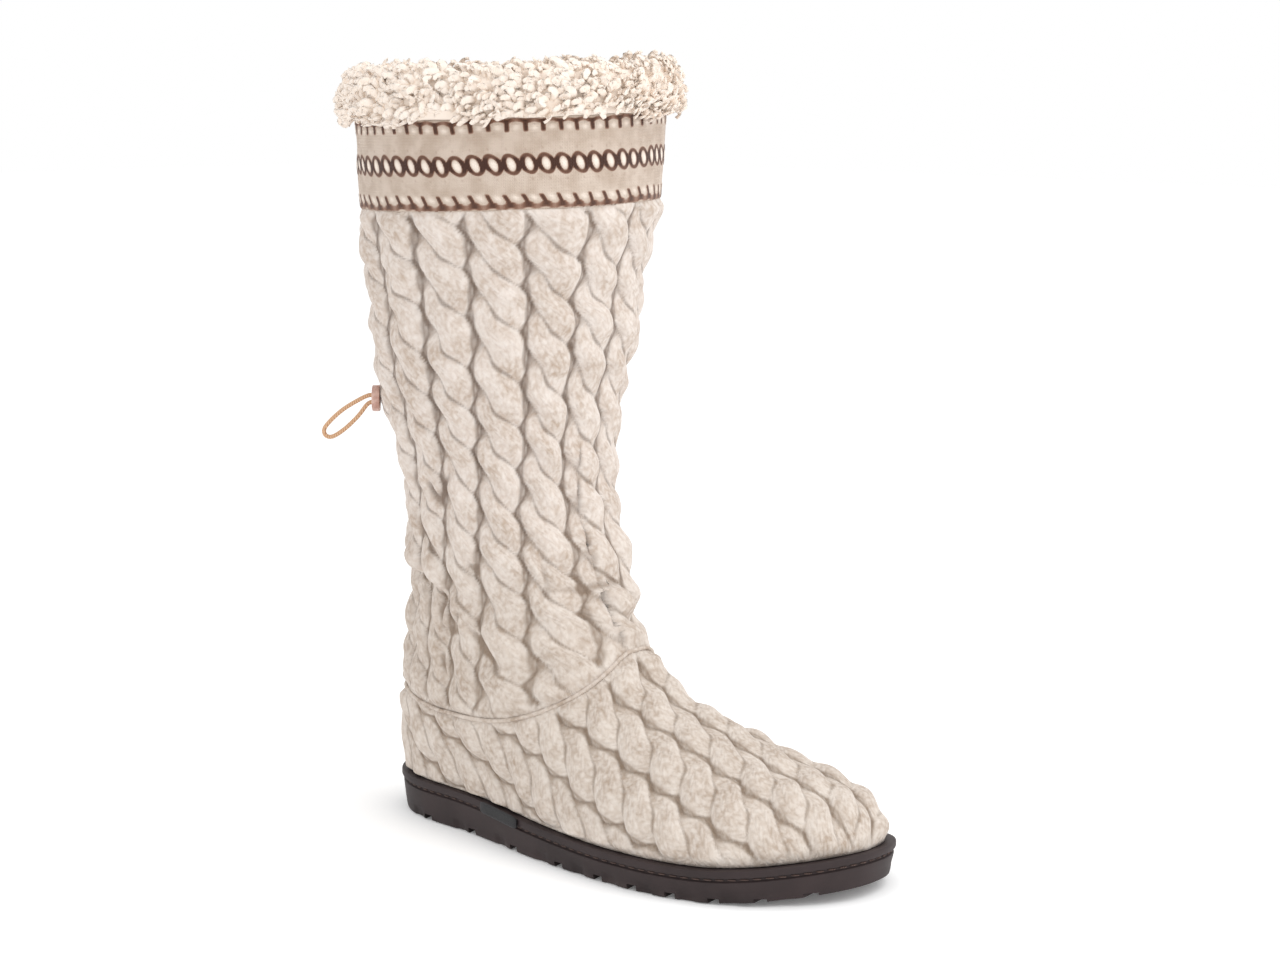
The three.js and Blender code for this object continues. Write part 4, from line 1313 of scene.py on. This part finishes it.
def lining_piece():
    count, rows = 160, 90
    heading = TURN * np.arange(count) / count
    t = np.linspace(0, 1, rows)[:, None]
    # the lower edge climbs in front, as the seam does
    climb = LINING_FRONT * np.maximum(np.cos(heading), 0) ** 6 * (1 - t)
    level = mix(LINING_FOOT, SHAFT_TOP, t) + climb
    wall = leaned(sunk(on_form(heading, level), WALL + LINING_GAP).reshape(rows, count, 3))
    above = np.linspace(1.5, BAND_HEIGHT + 4, 20)[:, None]
    out = band_out(above / BAND_HEIGHT) - BAND_WALL - CROWN_GAP - CROWN_PULL * ease(1 - above / 8)
    back = np.concatenate([wall, over_top(heading, out, above)])
    inward = np.array([SHAFT_SET, 0, 0]) - back
    inward[..., 2] = 0
    inward /= np.linalg.norm(inward, axis=-1, keepdims=True)
    face = back + inward * (LINING_THICK + lumps(back, LINING_PILE))[..., None]
    rings = np.concatenate([face[::-1], back[::2], back[-1:], face[-1:]])
    return panel("lining_sleeve", closed(rings))


dress(lining_piece(), FLEECE_LINING, "fleece")

# %% [markdown]
# ## The sole
# The outsole is one rubber moulding: a lip round the top edge, a sewn groove under it, a plain wall and
# lugs that show as shallow steps along the lower edge. Its panel runs from a line under the foot's middle
# out over the tread, up the wall and back in over the top. Boxes are then cut out of the tread with a
# boolean, as the steel of a mould cuts them, which keeps their edges sharp.

# %% The sole's panel
SOLE_AROUND = 420
SIDE_TAPER = 1.6
RIM_HEIGHT = 3.4
GROOVE = 1.6
TREAD_INSET = SIDE_TAPER + 3.0
TOP_INSET = 2.0
# the middle line that the tread and the top run in to: its ends from the heel and the toe, and its steps
SPINE_HEEL = 30
SPINE_TOE = 42
SPINE_STEP = 3
# slots of the tread as shares of its length; a side slot's turn, width and depth, and a middle slot's size
SLOT_TURN = math.radians(14)
SLOT_WIDTH = 5
SLOT_DEPTH = 5.2
SLOT_REACH = 15
MIDDLE_SLOT = (3, 21, 2.6)
SLOTS = [0.12, 0.24, 0.36, 0.48, 0.575, 0.65, 0.725, 0.8, 0.87, 0.935]
# up from the tread (0) or down from the top edge (1), inset from the outline, and that height
SOLE_PROFILE = [
    (0, TREAD_INSET, 0.0),
    (0, SIDE_TAPER + 1.0, 0.0),
    (0, SIDE_TAPER + 0.3, 0.3),
    (0, SIDE_TAPER, 1.0),
    (0, SIDE_TAPER - 0.3, 2.6),
    (0, SIDE_TAPER - 0.5, 4.6),
    (0, SIDE_TAPER - 0.7, 5.4),
    (1, 0.15, RIM_HEIGHT + GROOVE + 1.2),
    (1, 0.1, RIM_HEIGHT + GROOVE + 0.35),
    (1, 0.5, RIM_HEIGHT + GROOVE),
    (1, 1.0, RIM_HEIGHT + GROOVE - 0.25),
    (1, 1.0, RIM_HEIGHT + 0.25),
    (1, 0.4, RIM_HEIGHT),
    (1, -0.5, RIM_HEIGHT - 0.1),
    (1, -0.8, RIM_HEIGHT - 0.8),
    (1, -0.8, 0.8),
    (1, -0.5, 0.2),
    (1, 0.2, 0.0),
    (1, TOP_INSET, 0.0),
]


# half length of the step beside a slot, and how far it is drawn in
STEP_HALF = 2.6
STEP_IN = 0.9


def side_step(at):
    """1 beside a lug's slot, where the wall's lower edge is drawn in."""
    away = np.abs(np.asarray(at)[:, None] - np.array(SLOTS)).min(1) * SOLE_LENGTH
    return 1 - ease((away - STEP_HALF) / 1.6)


def sole_rings():
    points, normal = outline_points(SOLE_AROUND)
    step = STEP_IN * side_step(sole_share(points[:, 0]))

    def spine(share, inset, height_of):
        """A ring this share of the way in from the edge to the middle line."""
        plan = points + normal * inset
        middle_x = np.clip(plan[:, 0], SPINE_HEEL - HEEL_SET, SOLE_LENGTH - HEEL_SET - SPINE_TOE)
        # both sides meet in the same points of the middle line, so that the sole closes
        middle_x = np.round(middle_x / SPINE_STEP) * SPINE_STEP
        target = np.stack([middle_x, bend(sole_share(middle_x))], 1)
        moved = mix(plan, target, share)
        return np.column_stack([moved, height_of(sole_share(moved[:, 0]))])

    rings = [spine(share, TREAD_INSET, sole_bottom) for share in (1.0, 0.66, 0.33)]
    for from_top, inset, height in SOLE_PROFILE:
        drawn_in = 0 if from_top else step * ease((SLOT_DEPTH - height) / 1.5)
        plan = points + normal * np.broadcast_to(inset + drawn_in, len(points))[:, None]
        at = sole_share(plan[:, 0])
        level = sole_top(at) - height if from_top else sole_bottom(at) + height
        rings.append(np.column_stack([plan, level]))
    rings += [spine(share, TOP_INSET, sole_top) for share in (0.33, 0.66, 1.0)]
    return np.array(rings)


def tread_cutter():
    """All slots of the tread as one mesh of boxes."""
    boxes = []
    for at in SLOTS:
        for side in (-1, 1):
            turn = -side * SLOT_TURN
            x, y = at * SOLE_LENGTH - HEEL_SET, float(bend(at))
            reach = side * (BALL_WIDTH / 2 + SLOT_REACH)
            centre = (x - reach * math.sin(turn), y + reach * math.cos(turn))
            boxes.append((centre, turn, (SLOT_WIDTH, BALL_WIDTH, SLOT_DEPTH), at))
    for a, b in zip(SLOTS[:-1], SLOTS[1:]):
        at = (a + b) / 2
        boxes.append(((at * SOLE_LENGTH - HEEL_SET, float(bend(at))), 0.0, MIDDLE_SLOT, at))
    deselect_all()
    made = []
    for (x, y), turn, size, at in boxes:
        place = Vector((x, y, float(toe_lift(at)))) * MM
        bpy.ops.mesh.primitive_cube_add(size=1, location=place, rotation=(0, 0, turn))
        box = bpy.context.active_object
        box.scale = Vector(size) * MM
        made.append(box)
    for box in made:
        box.select_set(True)
    bpy.ops.object.join()
    return bpy.context.active_object


def sole_piece():
    sole = panel("rubber_outsole", closed(sole_rings()))
    cutter = tread_cutter()
    cut = sole.modifiers.new("tread", "BOOLEAN")
    cut.operation = "DIFFERENCE"
    cut.solver = "EXACT"
    cut.use_self = True
    cut.object = cutter
    deselect_all()
    bpy.context.view_layer.objects.active = sole
    sole.select_set(True)
    bpy.ops.object.modifier_apply(modifier="tread")
    bpy.ops.object.shade_smooth_by_angle(angle=math.radians(32))
    bpy.data.objects.remove(cutter)
    print("sole", len(sole.data.polygons), "faces")
    return sole


# %% Rubber
def rubber_tree(tree):
    cloud = noise(tree, 40.0, 3.0)
    low_down = ranged(tree, height_on(tree), 4 * MM, 0.0)
    scuff = calc(tree, "MULTIPLY", low_down, ranged(tree, cloud, 0.4, 0.7))
    color = blended(tree, ranged(tree, cloud, 0.3, 0.7), paint("#2b2222"), paint("#362b2b"))
    color = blended(tree, calc(tree, "MULTIPLY", scuff, 0.5), color, paint("#564a47"))
    return color, noise(tree, 900.0, 2.0)


RUBBER = finish_material("rubber", rubber_tree, 0.62, bump=0.25, depth=0.15)
dress(sole_piece(), RUBBER, "sole_rubber", "outsole")


# %% Stitches in the groove
SEWN_STITCHES = 118
STITCH_INSET = 0.75
# half length, half width and half height of one stitch
STITCH_SIZE = (1.9, 0.5, 0.42)


def groove_stitches():
    """Short thread stitches all round, each sunk a little in the groove."""
    points, normal = outline_points(SEWN_STITCHES)
    at = sole_share(points[:, 0])
    along = np.roll(points, -1, 0) - np.roll(points, 1, 0)
    along /= np.hypot(*along.T)[:, None]
    deselect_all()
    bpy.ops.mesh.primitive_uv_sphere_add(segments=8, ring_count=6, radius=1 * MM)
    thread = bpy.context.active_object
    bpy.ops.object.mode_set(mode="EDIT")
    bpy.ops.mesh.select_all(action="SELECT")
    bpy.ops.transform.resize(value=STITCH_SIZE)
    bpy.ops.object.mode_set(mode="OBJECT")
    matrices = np.tile(np.eye(4), (SEWN_STITCHES, 1, 1))
    matrices[:, :2, 0] = along
    matrices[:, :2, 1] = normal
    matrices[:, :2, 3] = (points + normal * STITCH_INSET) * MM
    matrices[:, 2, 3] = (sole_top(at) - RIM_HEIGHT - GROOVE / 2) * MM
    return copies("groove_stitches", thread, matrices)


def thread_tree(tree):
    twist = add(tree, "ShaderNodeTexWave", {"Vector": place_on(tree), "Scale": 900.0}).outputs["Fac"]
    return blended(tree, twist, paint("#3a2d2a"), paint("#6d5a53")), twist


THREAD = finish_material("sole_thread", thread_tree, 0.8, bump=0.4, depth=0.2)
dress(groove_stitches(), THREAD, "sole_rubber")

# %% [markdown]
# ## The footbed
# The footbed is a pad of foam with short fleece on it. It fills the foot from wall to wall, with a soft
# crown and a rounded edge. Rings that shrink from its edge to its middle line give it both at once.

# %% The footbed's panel
PAD_GAP = 1.4
PAD_THICK = 5
PAD_PILE = [(0.4, 9, 61)]
# inset from the foot's wall and height of the rings round the pad's edge
PAD_EDGE = [(0, 0.0), (0, 0.6), (0, 3.4), (0.5, 4.4), (1.5, PAD_THICK)]
PAD_HEEL = 34
PAD_TOE = 46


def pad_rings():
    heading = foot_headings(200)
    edge = foot_edge(heading)
    rings = []
    for inset, up in PAD_EDGE:
        ring = sunk(edge, WALL + PAD_GAP + inset)
        ring[:, 2] = edge[:, 2] + up
        rings.append(ring)
    middle_x = np.clip(edge[:, 0], PAD_HEEL - HEEL_SET, SOLE_LENGTH - HEEL_SET - PAD_TOE)
    at = sole_share(middle_x)
    bottom = np.column_stack([middle_x, bend(at), sole_top(at) + CLEARANCE])
    top = bottom + (0, 0, PAD_THICK)
    under = [mix(bottom, rings[0], share) for share in (0.0, 0.35, 0.7)]
    rim = rings[-1]
    for share in np.linspace(0.06, 1, 22):
        ring = mix(rim, top, share)
        base = sole_top(sole_share(ring[:, 0])) + CLEARANCE + PAD_THICK
        ring[:, 2] = base + (lumps(ring, PAD_PILE) + 0.3) * ease(share * 6) * ease((1.02 - share) * 9)
        rings.append(ring)
    return np.array([*under, *rings])


footbed = dress(panel("fleece_footbed", closed(pad_rings())), FLEECE_LINING, "footbed", "insole")

# %% [markdown]
# ## The label
# A folded tape is sewn in at the sole's top edge and turned down over the lip. It is left plain. It starts
# as a cube, is cut into short lengths so that it can follow the sole's curve, and a subdivision surface
# rounds its edges.

# %% The label
LABEL_AT = 0.37
LABEL_LENGTH = 29
LABEL_HEIGHT = 5.2
LABEL_DROP = 4.5
LABEL_THICK = 1.1
LABEL_OUT = 0.9
# share of its half length from which an end gets thinner and lower
LABEL_END = 0.86


def label_piece():
    deselect_all()
    bpy.ops.mesh.primitive_cube_add(size=2)
    label = bpy.context.active_object
    label.name = "plain_label"
    bpy.ops.object.mode_set(mode="EDIT")
    bpy.ops.mesh.select_all(action="SELECT")
    bpy.ops.mesh.subdivide(number_cuts=12)
    bpy.ops.object.mode_set(mode="OBJECT")
    for vertex in label.data.vertices:
        x, y, z = vertex.co
        end = ease(np.float64((abs(x) - LABEL_END) / (1 - LABEL_END)))
        at = LABEL_AT + x * LABEL_LENGTH / 2 / SOLE_LENGTH
        thin = 1 - 0.5 * abs(z) ** 6
        out = LABEL_OUT + CLEARANCE + LABEL_THICK * (0.5 - 0.5 * y * thin) * (1 - 0.25 * end)
        side = float(bend(at) - half_width(np.float64(at), 2)) - out
        up = float(sole_top(at)) - LABEL_DROP + LABEL_HEIGHT * (0.5 + 0.5 * z * (1 - 0.22 * end))
        vertex.co = Vector((at * SOLE_LENGTH - HEEL_SET, side, up)) * MM
    bpy.ops.object.mode_set(mode="EDIT")
    bpy.ops.mesh.select_all(action="SELECT")
    bpy.ops.mesh.normals_make_consistent(inside=False)
    bpy.ops.object.mode_set(mode="OBJECT")
    soft = label.modifiers.new("soft", "SUBSURF")
    soft.levels = soft.render_levels = 1
    bpy.ops.object.modifier_apply(modifier="soft")
    bpy.ops.object.shade_smooth()
    return label


def label_tree(tree):
    apart = add(tree, "ShaderNodeSeparateXYZ", {0: place_on(tree)})
    warp = calc(tree, "SINE", calc(tree, "MULTIPLY", apart.outputs[0], 9000.0))
    weft = calc(tree, "SINE", calc(tree, "MULTIPLY", apart.outputs[2], 9000.0))
    weave = calc(tree, "MULTIPLY_ADD", calc(tree, "MULTIPLY", warp, weft), 0.5, 0.5)
    return blended(tree, weave, paint("#050506"), paint("#18171b")), weave


LABEL_TAPE = finish_material("label_tape", label_tree, 0.6, sheen=0.1, bump=0.5, depth=0.2)
dress(label_piece(), LABEL_TAPE, "label", "side_label")

# %% [markdown]
# ## The button and its elastic loop
# A small shell button sits at the back of the outer side, and a thin round elastic comes out of one of its
# holes, hangs as a loop and goes back into the other. The button starts as a cylinder: its face is inset
# and pressed down, its edges are bevelled, and two holes are cut. The elastic is a cord, so it is one
# curve along its route.

# %% Where the button sits
BUTTON_RADIUS = 6
BUTTON_THICK = 3.6
BUTTON_DISH = 0.8
BUTTON_RIM = 1.3
BUTTON_SLOPE = 0.7
BUTTON_EDGE = 0.55
BUTTON_OUT = 3.75
HOLE_OFF = 1.45
HOLE_RADIUS = 1.15
out_of_boot = np.array([math.cos(LOOP_HEADING), math.sin(LOOP_HEADING), 0])
button_seat = leaned(on_form(np.array([LOOP_HEADING]), LOOP_LEVEL))[0] + out_of_boot * BUTTON_OUT


def at_button(out, up, side=0.0):
    """A point by its distance out from the button's back, up and to the side."""
    across = np.array([-out_of_boot[1], out_of_boot[0], 0])
    return Vector(button_seat + out_of_boot * out + np.array([0, 0, up]) + across * side) * MM


print("button at", (button_seat * MM).round(4))


# %% The button
def button_piece():
    deselect_all()
    thick = BUTTON_THICK * MM
    bpy.ops.mesh.primitive_cylinder_add(vertices=48, radius=BUTTON_RADIUS * MM, depth=thick)
    button = bpy.context.active_object
    button.name = "shell_button"
    bpy.ops.object.mode_set(mode="EDIT")
    bpy.ops.mesh.select_all(action="DESELECT")
    bpy.ops.object.mode_set(mode="OBJECT")
    for face in button.data.polygons:
        face.select = face.normal.z > 0.9
    bpy.ops.object.mode_set(mode="EDIT")
    bpy.ops.mesh.inset(thickness=BUTTON_RIM * MM)
    bpy.ops.mesh.inset(thickness=BUTTON_SLOPE * MM)
    bpy.ops.transform.translate(value=(0, 0, -BUTTON_DISH * MM))
    bpy.ops.object.mode_set(mode="OBJECT")
    edge = button.modifiers.new("edge", "BEVEL")
    edge.width = BUTTON_EDGE * MM
    edge.segments = 4
    edge.limit_method = "ANGLE"
    bpy.ops.object.modifier_apply(modifier="edge")
    holes = []
    for side in (-1, 1):
        place = (0, side * HOLE_OFF * MM, 0)
        radius = HOLE_RADIUS * MM
        bpy.ops.mesh.primitive_cylinder_add(vertices=20, radius=radius, depth=2 * thick, location=place)
        holes.append(bpy.context.active_object)
    for hole in holes:
        cut = button.modifiers.new("hole", "BOOLEAN")
        cut.operation = "DIFFERENCE"
        cut.object = hole
        bpy.context.view_layer.objects.active = button
        bpy.ops.object.modifier_apply(modifier="hole")
        bpy.data.objects.remove(hole)
    across = Vector((-out_of_boot[1], out_of_boot[0], 0))
    turn = Matrix((across, Vector((0, 0, 1)), Vector(out_of_boot))).transposed().to_4x4()
    turn.translation = at_button(BUTTON_THICK / 2, 0)
    button.data.transform(turn)
    deselect_all()
    button.select_set(True)
    bpy.context.view_layer.objects.active = button
    bpy.ops.object.shade_smooth_by_angle(angle=math.radians(40))
    return button


def shell_tree(tree):
    cloud = noise(tree, 260.0, 4.0)
    return blended(tree, ranged(tree, cloud, 0.3, 0.7), paint("#b08577"), paint("#d3b3a6")), cloud


SHELL = finish_material("button_shell", shell_tree, 0.25, bump=0.1, depth=0.1)
SHELL.node_tree.nodes["Principled BSDF"].inputs["Coat Weight"].default_value = 0.4
dress(button_piece(), SHELL, "button_shell", "button")

# %% The elastic loop
# out from the button's face, and up
LOOP_ROUTE = np.array(
    [
        (0.3, 1.4),
        (2.5, 1.2),
        (7, -1),
        (13.5, -5),
        (19, -9.8),
        (22.3, -14),
        (21.8, -17),
        (18.6, -17.6),
        (13, -14),
        (7, -8.2),
        (2.9, -2.9),
        (0.3, -1.5),
    ]
)
LOOP_CORD = 2


def smooth_route(route, steps):
    """Points on a smooth curve through the route."""
    ends = np.concatenate([[2 * route[0] - route[1]], route, [2 * route[-1] - route[-2]]])
    points = []
    for k in range(len(route) - 1):
        a, b, c, d = ends[k : k + 4]
        for t in np.linspace(0, 1, steps, endpoint=False):
            curved = (2 * a - 5 * b + 4 * c - d) * t**2 + (3 * b - a - 3 * c + d) * t**3
            points.append(0.5 * (2 * b + (c - a) * t + curved))
    return np.array([*points, route[-1]])


def elastic_piece():
    face = BUTTON_THICK - BUTTON_DISH + CLEARANCE
    places = [at_button(face + out, up) for out, up in smooth_route(LOOP_ROUTE, 4)]
    line = bpy.data.curves.new("elastic_loop", "CURVE")
    line.dimensions = "3D"
    line.bevel_depth = LOOP_CORD / 2 * MM
    line.bevel_resolution = 3
    line.use_fill_caps = True
    spline = line.splines.new("POLY")
    spline.points.add(len(places) - 1)
    for point, place in zip(spline.points, places):
        point.co = (*place, 1)
    elastic = bpy.data.objects.new("elastic_loop", line)
    bpy.context.scene.collection.objects.link(elastic)
    length = sum((b - a).length for a, b in zip(places[:-1], places[1:]))
    print("elastic loop", round(length / MM, 1), "mm")
    return elastic, places, length


def elastic_tree(tree):
    inputs = {"Vector": place_on(tree), "Scale": 420.0, "Distortion": 1.5}
    rib = add(tree, "ShaderNodeTexWave", inputs).outputs["Fac"]
    return blended(tree, rib, paint("#b58764"), paint("#dcb895")), rib


ELASTIC = finish_material("elastic", elastic_tree, 0.7, sheen=0.1, bump=0.4, depth=0.25)
elastic, route, loop_length = elastic_piece()
dress(elastic, ELASTIC, "elastic", "pull_loop")

# %% [markdown]
# ## The floor and the light
# The boot stands on a white sweep, lit from all sides so that the shadows are soft, with a stronger light
# from the front and right.


# %% Floor and lights
FLOOR_SIZE = 12
FLOOR_GAP = 0.2 * MM
FLOOR_GLOW = 0.1


def floor_piece():
    deselect_all()
    bpy.ops.mesh.primitive_plane_add(size=FLOOR_SIZE, location=(0, 0, -FLOOR_GAP))
    floor = bpy.context.active_object
    floor.name = "floor"
    material = bpy.data.materials.new("white_sweep")
    material.use_nodes = True
    surface = material.node_tree.nodes["Principled BSDF"]
    surface.inputs["Base Color"].default_value = (0.97, 0.97, 0.97, 1)
    surface.inputs["Roughness"].default_value = 1.0
    surface.inputs["Specular IOR Level"].default_value = 0.0
    surface.inputs["Emission Color"].default_value = (1, 1, 1, 1)
    surface.inputs["Emission Strength"].default_value = FLOOR_GLOW
    floor.data.materials.append(material)
    return floor


# turn from the camera's own, elevation, distance, size and power
LIGHTS = [
    (60, 40, 1.7, 2.0, 13),
    (-55, 12, 1.9, 1.4, 1.5),
    (10, 78, 1.8, 1.6, 4),
]


def light_the_boot():
    for turn, height, distance, size, power in LIGHTS:
        back = toward(AZIMUTH + math.radians(turn), math.radians(height))
        bpy.ops.object.light_add(type="AREA", location=LOOK_AT + distance * back)
        light = bpy.context.active_object
        light.rotation_euler = back.to_track_quat("Z", "Y").to_euler()
        light.data.size = size
        light.data.energy = power
    world = bpy.context.scene.world or bpy.data.worlds.new("studio")
    bpy.context.scene.world = world
    world.use_nodes = True
    world.node_tree.nodes["Background"].inputs[0].default_value = (1, 1, 1, 1)
    world.node_tree.nodes["Background"].inputs[1].default_value = 1.0


floor_piece()
light_the_boot()
print("lights:", len(LIGHTS))
bpy.context.scene.view_settings.view_transform = "Standard"
